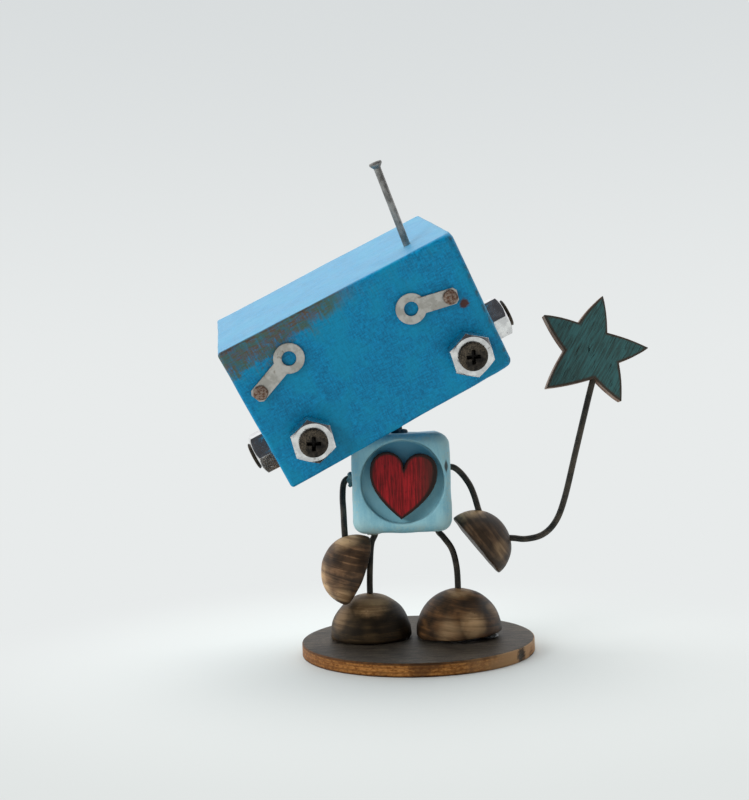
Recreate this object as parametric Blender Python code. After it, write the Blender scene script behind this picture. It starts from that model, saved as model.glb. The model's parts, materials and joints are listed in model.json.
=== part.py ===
"""Little robot figure: painted wood blocks, split wooden balls, iron wire, nuts, screws, tacks and a nail.

Metres, +Z up. The robot looks along -Y and stands with the middle of its base on the origin.
"""
import math

import bmesh
import bpy
from mathutils import Matrix, Vector

# ---------------------------------------------------------------------------------- sizes
CLEARANCE = 0.0003           # gap between pieces that touch, and round what sits in a bore
BORE_SIDES = 16

BASE_RADIUS = 0.0300
BASE_THICKNESS = 0.0033

FOOT_RADIUS = 0.0106
FOOT_HEIGHT = 0.0114
FOOT_LEFT = (-0.0121, 0.0017)
FOOT_RIGHT = (0.0108, -0.0002)
FOOT_RIGHT_RADIUS = 0.0111    # the right ball is a little bigger than the left
FOOT_RIGHT_TILT = math.radians(3.5)

TORSO_SIDE = 0.0252
TORSO_ROUNDING = 0.0032
TORSO_X = -0.0031
TORSO_Y = 0.0040
TORSO_BOTTOM = 0.0311        # height of its underside over the ground

RECESS_RADIUS = 0.0105
RECESS_DEPTH = 0.0018
RECESS_SHIFT = (0.0003, 0.0005)
HEART_WIDTH = 0.0170
HEART_HEIGHT = 0.0168
HEART_THICKNESS = 0.0026
HEART_TURN = math.radians(-4.5)
HEART_DROP = 0.0010          # how far it is glued below the middle of the pocket

WIRE_RADIUS = 0.00085
WIRE_IN_WOOD = 0.0045
WIRE_LEAD = 0.0006           # straight stretch outside the wood, before the first bend
HIP_LEFT = -0.0070           # hips and shoulders are measured from the middle of the torso's underside
HIP_RIGHT = 0.0094
SHOULDER_LEFT = 0.0138
SHOULDER_RIGHT = 0.0159

HAND_RADIUS = 0.0092
# shoulder to the middle of the hand's flat: a fixed part, and a part that grows with the hand, to keep it
# clear of the torso and the feet
HAND_LEFT_DROP = Vector((0.01292, -0.00482, -0.01957))
HAND_LEFT_AWAY = Vector((-1.35, -0.4, -0.4))
HAND_RIGHT_DROP = Vector((-0.00086, -0.00200, -0.01896))
HAND_RIGHT_AWAY = Vector((0.8, 0.0, -0.2))
HAND_LEFT_DOME = Vector((-0.900, -0.208, 0.383)).normalized()
HAND_RIGHT_DOME = Vector((0.790, 0.050, 0.611)).normalized()

STAR_THICKNESS = 0.0032
STAR_FROM_HAND = Vector((0.0319, 0.0006, 0.0499))
STAR_YAW = math.radians(4.0)
STAR_LEAN = math.radians(-6.0)
# a star cut by hand: angle in degrees and distance from its middle, tips and notches by turns
STAR_OUTLINE = [(1, 0.0153), (46, 0.0064), (75, 0.0152), (112, 0.0081), (141, 0.0158),
                (177, 0.0072), (217, 0.0159), (272, 0.0073), (297, 0.0155), (334, 0.0078)]
STAR_NOTCH = 7               # the notch that the wand goes into
WAND_SLANT = math.radians(18.6)
WAND_IN_STAR = 0.0045

NECK_RADIUS = 0.0010
NECK_IN_TORSO = 0.0060
NECK_IN_HEAD = 0.0080
NECK_STUB = 0.0019           # upright stretch over the torso, before the bend
HEAD_GAP = 0.00062           # from the torso's nearest corner to the head's underside

HEAD_WIDTH = 0.0620
HEAD_DEPTH = 0.0433
HEAD_LEFT_HEIGHT = 0.0380
HEAD_RIGHT_HEIGHT = 0.0361
HEAD_EDGE = 0.0009
HEAD_NOD = math.radians(17.35)
HEAD_ROLL = math.radians(-25.8)
NECK_ACROSS = -0.0008        # where the neck meets the head, from the middle of its front face
NECK_BACK = 0.0215

NUT_ACROSS_FLATS = 0.0098
NUT_THICKNESS = 0.0045
NUT_BORE_RADIUS = 0.0026
NUT_MOUTH_RADIUS = 0.0032
NUT_CHAMFER_SHARE = 0.47     # radius of the flat round on a nut's face, as a share of its width
NUT_CHAMFER = math.radians(30)
SCREW_HEAD_RADIUS = 0.0035
SCREW_RIM = 0.00035
SCREW_RADIUS = 0.0017
SCREW_IN_WOOD = 0.0100
CROSS_LENGTH = 0.0040
CROSS_WIDTH = 0.0010
CROSS_DEPTH = 0.0013
CROSS_CLEAR = 0.0004         # how far the cutting bar stands over the screw's head

# on the front face: from its middle, and down from its top edge
EYE_LEFT = (-0.0207, 0.0285)
EYE_RIGHT = (0.0223, 0.0279)
EYE_LEFT_TURN = math.radians(18.0)
EYE_RIGHT_TURN = math.radians(22.0)
# on the side faces: back from the front face, and down from the top
EAR_LEFT = (0.0135, 0.0301)
EAR_RIGHT = (0.0130, 0.0274)
EAR_LEFT_TURN = math.radians(4.0)
EAR_RIGHT_TURN = math.radians(-10.0)

BROW_THICKNESS = 0.0005
BROW_RING_RADIUS = 0.00375
BROW_HOLE_RADIUS = 0.00175
BROW_TAIL_WIDTH = 0.0040
BROW_TAIL_END = 0.0019       # past the tack
BROW_LEFT_TACK = (-0.02625, 0.01275)
BROW_LEFT_REACH = 0.0106     # tack to the middle of the ring
BROW_LEFT_ANGLE = math.radians(23.1)
BROW_RIGHT_TACK = (0.0240, 0.01355)
BROW_RIGHT_REACH = 0.0097
BROW_RIGHT_ANGLE = math.radians(169.0)
TACK_HEAD_RADIUS = 0.0018
TACK_HEAD_HEIGHT = 0.0006
TACK_RADIUS = 0.0006
TACK_IN_WOOD = 0.0060

NAIL_RADIUS = 0.000875
NAIL_HEAD_RADIUS = 0.00125
NAIL_OUT = 0.0213
NAIL_IN_WOOD = 0.0080
NAIL_PLACE = (0.0209, 0.0119)     # on the top face: from its middle, and back from the front
NAIL_LEAN = math.radians(6.3)

# ---------------------------------------------------------------------------------- helpers
for old in list(bpy.data.objects):
    bpy.data.objects.remove(old)


def material(name, colour, roughness, metallic=0.0):
    """A plain Principled material of one colour."""
    made = bpy.data.materials.new(name)
    made.use_nodes = True
    shader = made.node_tree.nodes["Principled BSDF"]
    shader.inputs["Base Color"].default_value = (*colour, 1.0)
    shader.inputs["Roughness"].default_value = roughness
    shader.inputs["Metallic"].default_value = metallic
    return made


STAINED = material("stained_wood", (0.075, 0.045, 0.028), 0.6)
BEAD = material("bead_wood", (0.14, 0.08, 0.04), 0.5)
PALE_BLUE = material("pale_blue_paint", (0.22, 0.46, 0.55), 0.6)
BLUE = material("blue_paint", (0.02, 0.27, 0.52), 0.55)
RED = material("red_stain", (0.35, 0.02, 0.02), 0.6)
TEAL = material("teal_stain", (0.03, 0.12, 0.14), 0.65)
IRON = material("iron_wire", (0.04, 0.045, 0.045), 0.45, 0.8)
STEEL = material("bright_steel", (0.62, 0.63, 0.65), 0.25, 1.0)
BRONZE = material("dark_screw", (0.05, 0.04, 0.035), 0.4, 0.9)
TIN = material("tinned_lug", (0.55, 0.55, 0.50), 0.35, 1.0)
RUST = material("rusty_tack", (0.25, 0.16, 0.10), 0.6, 0.7)


def add(name, bm, finish, place=Matrix.Identity(4), parent=None, smooth=math.radians(35)):
    """Make an object from bm, shaded smooth up to an angle, with its origin at place."""
    bmesh.ops.recalc_face_normals(bm, faces=bm.faces[:])
    mesh = bpy.data.meshes.new(name)
    bm.to_mesh(mesh)
    bm.free()
    mesh.shade_smooth()
    mesh.set_sharp_from_angle(angle=smooth)
    mesh.materials.append(finish)
    made = bpy.data.objects.new(name, mesh)
    bpy.context.scene.collection.objects.link(made)
    made.parent = parent
    made.matrix_basis = place
    return made


def facing(direction, place=(0, 0, 0)):
    """A frame at place whose Z points along direction."""
    turn = Vector(direction).to_track_quat("Z", "Y").to_matrix().to_4x4()
    return Matrix.Translation(Vector(place)) @ turn


FRONT = Matrix.Rotation(math.radians(90), 4, "X")       # a plate's Y goes up, its Z towards -Y


def turned(profile, sides):
    """Spin a profile of (radius, height) points, which starts and ends on the axis, about Z."""
    bm = bmesh.new()
    verts = [bm.verts.new((radius, 0, height)) for radius, height in profile]
    edges = [bm.edges.new(pair) for pair in zip(verts, verts[1:])]
    bmesh.ops.spin(bm, geom=verts + edges, axis=(0, 0, 1), cent=(0, 0, 0), dvec=(0, 0, 0),
                   angle=math.tau, steps=sides, use_merge=True)
    bmesh.ops.remove_doubles(bm, verts=bm.verts[:], dist=1e-6)
    return bm


def extruded(outline, thickness):
    """A plate in the XY plane, from Z 0 up to its thickness."""
    bm = bmesh.new()
    face = bm.faces.new([bm.verts.new((x, y, 0)) for x, y in outline])
    grown = bmesh.ops.extrude_face_region(bm, geom=[face])["geom"]
    risen = [item for item in grown if isinstance(item, bmesh.types.BMVert)]
    bmesh.ops.translate(bm, verts=risen, vec=(0, 0, thickness))
    bmesh.ops.triangulate(bm, faces=[item for item in bm.faces if len(item.verts) > 4])
    return bm


def arc(centre, radius, start, end, steps):
    """Points along an arc, both ends included, angles in radians."""
    angles = [start + (end - start) * i / steps for i in range(steps + 1)]
    return [(centre[0] + radius * math.cos(a), centre[1] + radius * math.sin(a)) for a in angles]


def cut(target, bm, parent=None):
    """Take the shape bm away from target; the cutter itself stays hidden."""
    bmesh.ops.recalc_face_normals(bm, faces=bm.faces[:])
    mesh = bpy.data.meshes.new(target.name + "_cutter")
    bm.to_mesh(mesh)
    bm.free()
    cutter = bpy.data.objects.new(mesh.name, mesh)
    bpy.context.scene.collection.objects.link(cutter)
    cutter.parent = parent
    cutter.hide_render = True
    cutter.display_type = "WIRE"
    step = target.modifiers.new("cut", "BOOLEAN")
    step.operation = "DIFFERENCE"
    step.object = cutter
    step.solver = "EXACT"


def bores(holes, lead=0.002):
    """Round holes, each (mouth, inward direction, radius, depth), as one cutting shape."""
    bm = bmesh.new()
    for mouth, inward, radius, depth in holes:
        inward = Vector(inward).normalized()
        middle = Vector(mouth) + inward * (depth - lead) / 2
        bmesh.ops.create_cone(bm, cap_ends=True, segments=BORE_SIDES, radius1=radius, radius2=radius,
                              depth=depth + lead, matrix=facing(inward, middle))
    return bm


def smooth_route(start, leaving, middles, end, arriving, per_span=5):
    """Points on a smooth curve from start to end through the middles, with its end directions given."""
    knots = [Vector(start)] + [Vector(point) for point in middles] + [Vector(end)]
    slopes = [(after - before) / 2 for before, after in zip(knots, knots[2:])]
    first = Vector(leaving).normalized() * (knots[1] - knots[0]).length
    last = Vector(arriving).normalized() * (knots[-1] - knots[-2]).length
    slopes = [first] + slopes + [last]
    points = []
    for i in range(len(knots) - 1):
        for step in range(per_span):
            t = step / per_span
            points.append(knots[i] * (2 * t**3 - 3 * t**2 + 1) + slopes[i] * (t**3 - 2 * t**2 + t)
                          + knots[i + 1] * (3 * t**2 - 2 * t**3) + slopes[i + 1] * (t**3 - t**2))
    return points + [knots[-1]]


def wire(name, start, leaving, middles, end, arriving, radius, sunk_first, sunk_last, finish=IRON):
    """A round wire from start to end, with a straight stretch sunk in wood at each end."""
    leaving = Vector(leaving).normalized()
    arriving = Vector(arriving).normalized()
    route = smooth_route(start + leaving * WIRE_LEAD, leaving, middles, end - arriving * WIRE_LEAD, arriving)
    points = [start - leaving * sunk_first] + route + [end + arriving * sunk_last]
    curve = bpy.data.curves.new(name, "CURVE")
    curve.dimensions = "3D"
    spline = curve.splines.new("POLY")
    spline.points.add(len(points) - 1)
    for slot, point in zip(spline.points, points):
        slot.co = (*(point - start), 1.0)
    curve.bevel_depth = radius
    curve.bevel_resolution = 2
    curve.use_fill_caps = True
    curve.materials.append(finish)
    made = bpy.data.objects.new(name, curve)
    made.location = start
    bpy.context.scene.collection.objects.link(made)
    return made


# ---------------------------------------------------------------------------------- base and feet
def dome(radius, height, rim=0.0004, rings=6):
    """Half a ball with its flat on Z 0 and a narrow chamfer round the rim."""
    rise = [math.radians(90) * (i + 0.5) / (rings + 0.5) for i in range(rings + 1)]
    side = [(radius * math.cos(a), height * math.sin(a)) for a in rise]
    side[-1] = (0, height)
    return [(0, 0), (radius - rim, 0), (radius, rim)] + side


wire_bore = WIRE_RADIUS + CLEARANCE
bore_depth = WIRE_IN_WOOD + CLEARANCE

edge = 0.0002
base_profile = [(0, 0), (BASE_RADIUS - edge, 0), (BASE_RADIUS, edge), (BASE_RADIUS, BASE_THICKNESS - edge),
                (BASE_RADIUS - edge, BASE_THICKNESS), (0, BASE_THICKNESS)]
add("base_disc", turned(base_profile, 56), STAINED)

foot_floor = BASE_THICKNESS + CLEARANCE


def foot(name, place, tilt, radius):
    """A split ball standing on the base, its tilt lifting its outer side; returns the wire's mouth in it."""
    floor = Vector((*place, foot_floor + radius * math.sin(tilt)))
    turn = Matrix.Rotation(-tilt, 4, "Y")
    made = add(name, turned(dome(radius, FOOT_HEIGHT), 28), BEAD, Matrix.Translation(floor) @ turn)
    mouth = floor + Vector((0, 0, FOOT_HEIGHT))
    cut(made, bores([(mouth, (0, 0, -1), wire_bore, bore_depth)]))
    return mouth


ankle_left = foot("foot_left", FOOT_LEFT, 0.0, FOOT_RADIUS)
ankle_right = foot("foot_right", FOOT_RIGHT, FOOT_RIGHT_TILT, FOOT_RIGHT_RADIUS)

# ---------------------------------------------------------------------------------- torso and heart
half = TORSO_SIDE / 2
torso_middle = Vector((TORSO_X, TORSO_Y, TORSO_BOTTOM + half))
hip_left = Vector((TORSO_X + HIP_LEFT, TORSO_Y, TORSO_BOTTOM))
hip_right = Vector((TORSO_X + HIP_RIGHT, TORSO_Y, TORSO_BOTTOM))
shoulder_left = Vector((TORSO_X - half, TORSO_Y, TORSO_BOTTOM + SHOULDER_LEFT))
shoulder_right = Vector((TORSO_X + half, TORSO_Y, TORSO_BOTTOM + SHOULDER_RIGHT))
neck_foot = Vector((TORSO_X, TORSO_Y, TORSO_BOTTOM + TORSO_SIDE))

block = bmesh.new()
bmesh.ops.create_cube(block, size=TORSO_SIDE)
bmesh.ops.bevel(block, geom=block.edges[:], offset=TORSO_ROUNDING, segments=4, profile=0.5,
                affect="EDGES", material=-1)
torso = add("torso_block", block, PALE_BLUE, Matrix.Translation(torso_middle))

torso_bores = bores([
    (hip_left, (0, 0, 1), wire_bore, bore_depth),
    (hip_right, (0, 0, 1), wire_bore, bore_depth),
    (shoulder_left, (1, 0, 0), wire_bore, bore_depth),
    (shoulder_right, (-1, 0, 0), wire_bore, bore_depth),
    (neck_foot, (0, 0, -1), NECK_RADIUS + CLEARANCE, NECK_IN_TORSO + CLEARANCE),
])
recess_place = torso_middle + Vector((RECESS_SHIFT[0], -half, RECESS_SHIFT[1]))
recess_reach = 0.002         # the cutting cylinder starts this far in front of the face
recess_middle = recess_place + Vector((0, (RECESS_DEPTH - recess_reach) / 2, 0))
bmesh.ops.create_cone(torso_bores, cap_ends=True, segments=36, radius1=RECESS_RADIUS, radius2=RECESS_RADIUS,
                      depth=RECESS_DEPTH + recess_reach, matrix=facing((0, 1, 0), recess_middle))
cut(torso, torso_bores)


def heart_outline():
    """Two round lobes that meet in the notch, and curved sides that meet in the tip; middle on the origin."""
    lobe = HEART_WIDTH / 4
    lobe_level = HEART_HEIGHT / 2 - lobe
    tip = -HEART_HEIGHT / 2
    shoulder = lobe_level - 0.25 * lobe
    pull = 0.36 * HEART_HEIGHT        # how far over the tip the side's curve is aimed
    right = arc((lobe, lobe_level), lobe, math.radians(165), 0, 9)
    side = []
    for i in range(7):
        t = i / 7
        x = 2 * lobe * (1 - t) ** 2 + 2 * t * (1 - t) * 2 * lobe
        y = shoulder * (1 - t) ** 2 + 2 * t * (1 - t) * (tip + pull) + tip * t**2
        side.append((x, y))
    right += side
    left = [(-x, y) for x, y in reversed(right)]
    notch = (0, lobe_level)
    return [notch] + right + [(0, tip)] + left


heart_back = recess_place + Vector((0, RECESS_DEPTH - CLEARANCE, -HEART_DROP))
heart_frame = Matrix.Translation(heart_back) @ FRONT @ Matrix.Rotation(HEART_TURN, 4, "Z")
add("heart", extruded(heart_outline(), HEART_THICKNESS), RED, heart_frame)

# ---------------------------------------------------------------------------------- legs
DOWN = Vector((0, 0, -1))
UP = Vector((0, 0, 1))


def between(start, end, shares):
    """Points between two ends; each share gives how far along X, Y and Z it has come."""
    span = end - start
    return [start + Vector((span.x * x, span.y * y, span.z * z)) for x, y, z in shares]


knee_left = between(hip_left, ankle_left, [(0.60, 0.15, 0.22), (0.87, 0.60, 0.55)])
wire("leg_wire_left", hip_left, DOWN, knee_left, ankle_left, DOWN, WIRE_RADIUS, WIRE_IN_WOOD, WIRE_IN_WOOD)

knee_right = between(hip_right, ankle_right, [(0.30, 0.15, 0.16), (0.76, 0.50, 0.36), (0.97, 0.80, 0.64)])
wire("leg_wire_right", hip_right, DOWN, knee_right, ankle_right, DOWN,
     WIRE_RADIUS, WIRE_IN_WOOD, WIRE_IN_WOOD)


# ---------------------------------------------------------------------------------- arms and hands
def on_dome(middle, way, radius):
    """The point on a ball's surface, seen from its middle along way."""
    return middle + Vector(way).normalized() * radius


hand_left = shoulder_left + HAND_LEFT_DROP + HAND_LEFT_AWAY * HAND_RADIUS
hand_right = shoulder_right + HAND_RIGHT_DROP + HAND_RIGHT_AWAY * HAND_RADIUS
wrist_left = on_dome(hand_left, (-0.30, 0.03, 0.95), HAND_RADIUS)
wrist_right = on_dome(hand_right, (0.12, 0.03, 0.99), HAND_RADIUS)
grip = on_dome(hand_right, (0.98, 0.0, 0.19), HAND_RADIUS)

into_left = Vector((0.06, -0.35, -0.93)).normalized()
into_right = Vector((0.27, -0.08, -0.96)).normalized()
into_grip = Vector((-1.0, 0.0, 0.06)).normalized()

elbow_left = between(shoulder_left, wrist_left,
                     [(1.02, 0.05, 0.08), (1.20, 0.30, 0.32), (1.12, 0.62, 0.58)])
wire("arm_wire_left", shoulder_left, (-1, 0, 0), elbow_left, wrist_left, into_left,
     WIRE_RADIUS, WIRE_IN_WOOD, WIRE_IN_WOOD)

elbow_right = between(shoulder_right, wrist_right,
                      [(0.40, 0.08, 0.12), (0.71, 0.35, 0.40), (0.87, 0.70, 0.67)])
wire("arm_wire_right", shoulder_right, (1, 0, 0), elbow_right, wrist_right, into_right,
     WIRE_RADIUS, WIRE_IN_WOOD, WIRE_IN_WOOD)

left = add("hand_left", turned(dome(HAND_RADIUS, HAND_RADIUS), 28), BEAD, facing(HAND_LEFT_DOME, hand_left))
cut(left, bores([(wrist_left, into_left, wire_bore, bore_depth)]))
right = add("hand_right", turned(dome(HAND_RADIUS, HAND_RADIUS), 28), BEAD,
            facing(HAND_RIGHT_DOME, hand_right))
cut(right, bores([(wrist_right, into_right, wire_bore, bore_depth),
                  (grip, into_grip, wire_bore, bore_depth)]))

# ---------------------------------------------------------------------------------- wand and star
star_middle = hand_right + STAR_FROM_HAND
star_turn = Matrix.Rotation(STAR_YAW, 4, "Z") @ Matrix.Rotation(STAR_LEAN, 4, "X") @ FRONT
star_points = [(math.cos(math.radians(a)) * r, math.sin(math.radians(a)) * r) for a, r in STAR_OUTLINE]
star_frame = Matrix.Translation(star_middle) @ star_turn @ Matrix.Translation((0, 0, -STAR_THICKNESS / 2))
star = add("star", extruded(star_points, STAR_THICKNESS), TEAL, star_frame)
notch = star_frame @ Vector((*star_points[STAR_NOTCH], STAR_THICKNESS / 2))
into_star = (star_turn @ Vector((math.sin(WAND_SLANT), math.cos(WAND_SLANT), 0, 0))).to_3d()
cut(star, bores([(notch, into_star, wire_bore, WAND_IN_STAR + CLEARANCE)]))

bend = between(grip, notch, [(0.18, 0.0, -0.010), (0.37, 0.1, 0.015), (0.52, 0.2, 0.095),
                             (0.63, 0.3, 0.24), (0.765, 0.5, 0.52), (0.885, 0.8, 0.77)])
wire("wand_wire", grip, -into_grip, bend, notch, into_star, WIRE_RADIUS, WIRE_IN_WOOD, WAND_IN_STAR)

# ---------------------------------------------------------------------------------- neck and head
head_turn = Matrix.Rotation(HEAD_ROLL, 4, "Y") @ Matrix.Rotation(HEAD_NOD, 4, "X")
underside_slope = math.atan((HEAD_LEFT_HEIGHT - HEAD_RIGHT_HEIGHT) / HEAD_WIDTH)
swivel_turn = head_turn @ Matrix.Rotation(-underside_slope, 4, "Y")
swivel_axis = (swivel_turn @ Vector((0, 0, 1, 0))).to_3d()

# the head sits just so far up its slanting neck that its underside clears the torso's nearest corner
neck_bend = neck_foot + UP * NECK_STUB
core = half - TORSO_ROUNDING
corners = [torso_middle + Vector((x, y, core)) for x in (-core, core) for y in (-core, core)]
highest = max((corner - neck_bend).dot(swivel_axis) for corner in corners)
neck_reach = highest + TORSO_ROUNDING + HEAD_GAP
head_seat = neck_bend + swivel_axis * neck_reach

neck_curve = [neck_bend + swivel_axis * neck_reach * 0.12, neck_bend + swivel_axis * neck_reach * 0.5]
wire("neck_wire", neck_foot, UP, neck_curve, head_seat, swivel_axis, NECK_RADIUS, NECK_IN_TORSO, NECK_IN_HEAD)

swivel = bpy.data.objects.new("head_swivel", None)
swivel.matrix_world = Matrix.Translation(head_seat) @ swivel_turn
bpy.context.scene.collection.objects.link(swivel)

neck_share = 0.5 + NECK_ACROSS / HEAD_WIDTH
height_at_neck = HEAD_LEFT_HEIGHT + (HEAD_RIGHT_HEIGHT - HEAD_LEFT_HEIGHT) * neck_share
block_place = (Matrix.Rotation(underside_slope, 4, "Y")
               @ Matrix.Translation((-NECK_ACROSS, -NECK_BACK, height_at_neck)))
# the block's own frame: X from the middle, Y back from the front face, Z up from the top
block_frame = bpy.data.objects.new("block_frame", None)
block_frame.parent = swivel
block_frame.matrix_basis = block_place
bpy.context.scene.collection.objects.link(block_frame)

side = HEAD_WIDTH / 2
bm = bmesh.new()
lower = [bm.verts.new((x, y, -height)) for x, y, height in
         [(-side, 0, HEAD_LEFT_HEIGHT), (side, 0, HEAD_RIGHT_HEIGHT),
          (side, HEAD_DEPTH, HEAD_RIGHT_HEIGHT), (-side, HEAD_DEPTH, HEAD_LEFT_HEIGHT)]]
upper = [bm.verts.new((vert.co.x, vert.co.y, 0)) for vert in lower]
bm.faces.new(lower)
bm.faces.new(upper)
for i in range(4):
    bm.faces.new([lower[i], lower[(i + 1) % 4], upper[(i + 1) % 4], upper[i]])
bmesh.ops.bevel(bm, geom=bm.edges[:], offset=HEAD_EDGE, segments=2, profile=0.5, affect="EDGES", material=-1)
head = add("head_block", bm, BLUE, parent=block_frame)

FACE_LEFT = Matrix.Rotation(math.radians(-90), 4, "Z") @ FRONT
FACE_RIGHT = Matrix.Rotation(math.radians(90), 4, "Z") @ FRONT


def on_front(spot, turn=0.0):
    return Matrix.Translation((spot[0], 0, -spot[1])) @ FRONT @ Matrix.Rotation(turn, 4, "Z")


def on_side(spot, across, facing_out, turn):
    return Matrix.Translation((across, spot[0], -spot[1])) @ facing_out @ Matrix.Rotation(turn, 4, "Z")


eye_left = on_front(EYE_LEFT, EYE_LEFT_TURN)
eye_right = on_front(EYE_RIGHT, EYE_RIGHT_TURN)
ear_left = on_side(EAR_LEFT, -side, FACE_LEFT, EAR_LEFT_TURN)
ear_right = on_side(EAR_RIGHT, side, FACE_RIGHT, EAR_RIGHT_TURN)
brow_left = on_front(BROW_LEFT_TACK, BROW_LEFT_ANGLE)
brow_right = on_front(BROW_RIGHT_TACK, BROW_RIGHT_ANGLE)
nail_frame = Matrix.Translation((NAIL_PLACE[0], NAIL_PLACE[1], 0)) @ Matrix.Rotation(NAIL_LEAN, 4, "Y")


def hole_in(frame, radius, depth):
    """A bore into the block, straight in from the spot that frame stands on."""
    inward = (frame @ Vector((0, 0, -1, 0))).to_3d()
    return frame.translation, inward, radius + CLEARANCE, depth + CLEARANCE


holes = [hole_in(frame, SCREW_RADIUS, SCREW_IN_WOOD) for frame in (eye_left, eye_right, ear_left, ear_right)]
holes += [hole_in(frame, TACK_RADIUS, TACK_IN_WOOD) for frame in (brow_left, brow_right)]
holes.append(hole_in(nail_frame, NAIL_RADIUS, NAIL_IN_WOOD))
to_block = block_place.inverted()
pin_way = (to_block @ Vector((0, 0, 1, 0))).to_3d()
holes.append((to_block.translation, pin_way, NECK_RADIUS + CLEARANCE, NECK_IN_HEAD + CLEARANCE))
cut(head, bores(holes), block_frame)

# ---------------------------------------------------------------------------------- eyes and ears
nut_top = CLEARANCE + NUT_THICKNESS


def nut(name, frame):
    """A hexagon nut with its corners turned off and a countersunk mouth at both ends."""
    corner = NUT_ACROSS_FLATS / 2 / math.cos(math.tau / 12)
    turned_off = corner - NUT_CHAMFER_SHARE * NUT_ACROSS_FLATS
    drop = turned_off * math.tan(NUT_CHAMFER)
    outline = arc((0, 0), corner, 0, math.tau * 5 / 6, 5)
    bm = extruded(outline, NUT_THICKNESS)
    made = add(name, bm, STEEL, frame @ Matrix.Translation((0, 0, CLEARANCE)), block_frame)
    flat = corner - turned_off
    wall = corner * 1.5
    away = NUT_THICKNESS - drop
    hair = 0.00002               # keeps the cutting ring off the hexagon's own corners
    reach = 0.001                # how far the cutters run past the nut's faces
    ring = bmesh.new()
    for level, lip in ((drop, -reach), (away, NUT_THICKNESS + reach)):
        end = 0.0 if lip < 0 else NUT_THICKNESS
        beyond = flat - abs(lip - end) / math.tan(NUT_CHAMFER)
        profile = [(corner + hair, level), (beyond, lip), (wall, lip), (wall, level)]
        verts = [ring.verts.new((x, 0, z)) for x, z in profile]
        edges = [ring.edges.new((verts[i], verts[(i + 1) % 4])) for i in range(4)]
        bmesh.ops.spin(ring, geom=verts + edges, axis=(0, 0, 1), cent=(0, 0, 0), dvec=(0, 0, 0),
                       angle=math.tau, steps=24, use_merge=True)
    mouth = NUT_MOUTH_RADIUS - NUT_BORE_RADIUS
    bore = turned([(0, -reach), (NUT_MOUTH_RADIUS + reach, -reach), (NUT_BORE_RADIUS, mouth),
                   (NUT_BORE_RADIUS, NUT_THICKNESS - mouth),
                   (NUT_MOUTH_RADIUS + reach, NUT_THICKNESS + reach), (0, NUT_THICKNESS + reach)], 24)
    lift = frame @ Matrix.Translation((0, 0, CLEARANCE))
    bmesh.ops.transform(ring, matrix=lift, verts=ring.verts[:])
    bmesh.ops.transform(bore, matrix=lift, verts=bore.verts[:])
    cut(made, ring, block_frame)
    cut(made, bore, block_frame)


def screw(name, frame):
    """A countersunk screw that sits in the nut's mouth, with a cross recess in its head."""
    seat = NUT_MOUTH_RADIUS - CLEARANCE * math.sqrt(2)
    rim = nut_top + SCREW_HEAD_RADIUS - seat
    top = rim + SCREW_RIM
    neck = rim - (SCREW_HEAD_RADIUS - SCREW_RADIUS)
    tip = -SCREW_IN_WOOD
    profile = [(0, tip), (SCREW_RADIUS, tip + 2 * SCREW_RADIUS), (SCREW_RADIUS, neck),
               (SCREW_HEAD_RADIUS, rim), (SCREW_HEAD_RADIUS, top - SCREW_RIM * 0.3),
               (SCREW_HEAD_RADIUS - SCREW_RIM * 0.85, top), (0, top)]
    made = add(name, turned(profile, 24), BRONZE, frame, block_frame)
    corner = math.sqrt(0.5)      # of a square one across
    tall = CROSS_DEPTH + CROSS_CLEAR
    for turn in (45, 135):
        bar = bmesh.new()
        bmesh.ops.create_cone(bar, cap_ends=True, segments=4, radius1=0.6 * corner, radius2=corner,
                              depth=1.0, matrix=Matrix.Rotation(math.radians(45), 4, "Z"))
        bmesh.ops.scale(bar, vec=(CROSS_LENGTH, CROSS_WIDTH, tall), verts=bar.verts[:])
        place = frame @ Matrix.Translation((0, 0, top + CROSS_CLEAR - tall / 2))
        turned_place = place @ Matrix.Rotation(math.radians(turn), 4, "Z")
        bmesh.ops.transform(bar, matrix=turned_place, verts=bar.verts[:])
        cut(made, bar, block_frame)


for name, frame in (("eye", eye_left), ("ear", ear_left)):
    nut(name + "_nut_left", frame)
    screw(name + "_screw_left", frame)
for name, frame in (("eye", eye_right), ("ear", ear_right)):
    nut(name + "_nut_right", frame)
    screw(name + "_screw_right", frame)


# ---------------------------------------------------------------------------------- brows and tacks
def brow(name, frame, reach):
    """A tinned lug that swings on its tack: a flat ring and its tail, the tack's hole on the origin."""
    half_tail = BROW_TAIL_WIDTH / 2
    meet = math.asin(half_tail / BROW_RING_RADIUS)
    ring = arc((reach, 0), BROW_RING_RADIUS, meet - math.pi, math.pi - meet, 24)
    corner = 0.4 * half_tail
    end = [(corner - BROW_TAIL_END, half_tail), (-BROW_TAIL_END, half_tail - corner),
           (-BROW_TAIL_END, corner - half_tail), (corner - BROW_TAIL_END, -half_tail)]
    plate = add(name, extruded(ring + end, BROW_THICKNESS), TIN,
                frame @ Matrix.Translation((0, 0, CLEARANCE)), block_frame)
    centre = (frame @ Vector((reach, 0, 0)))
    inward = (frame @ Vector((0, 0, -1, 0))).to_3d()
    through = BROW_THICKNESS + CLEARANCE * 2
    cut(plate, bores([(frame.translation, inward, TACK_RADIUS + CLEARANCE, through),
                      (centre, inward, BROW_HOLE_RADIUS, through)]), block_frame)


def tack(name, frame):
    """A small tack with a low domed head, over its lug."""
    under = BROW_THICKNESS + 2 * CLEARANCE
    crown = under + TACK_HEAD_HEIGHT
    profile = [(0, -TACK_IN_WOOD), (TACK_RADIUS, -TACK_IN_WOOD + 2 * TACK_RADIUS), (TACK_RADIUS, under),
               (TACK_HEAD_RADIUS, under),
               (TACK_HEAD_RADIUS * 0.85, under + 0.7 * TACK_HEAD_HEIGHT), (0, crown)]
    add(name, turned(profile, 20), RUST, frame, block_frame)


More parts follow.
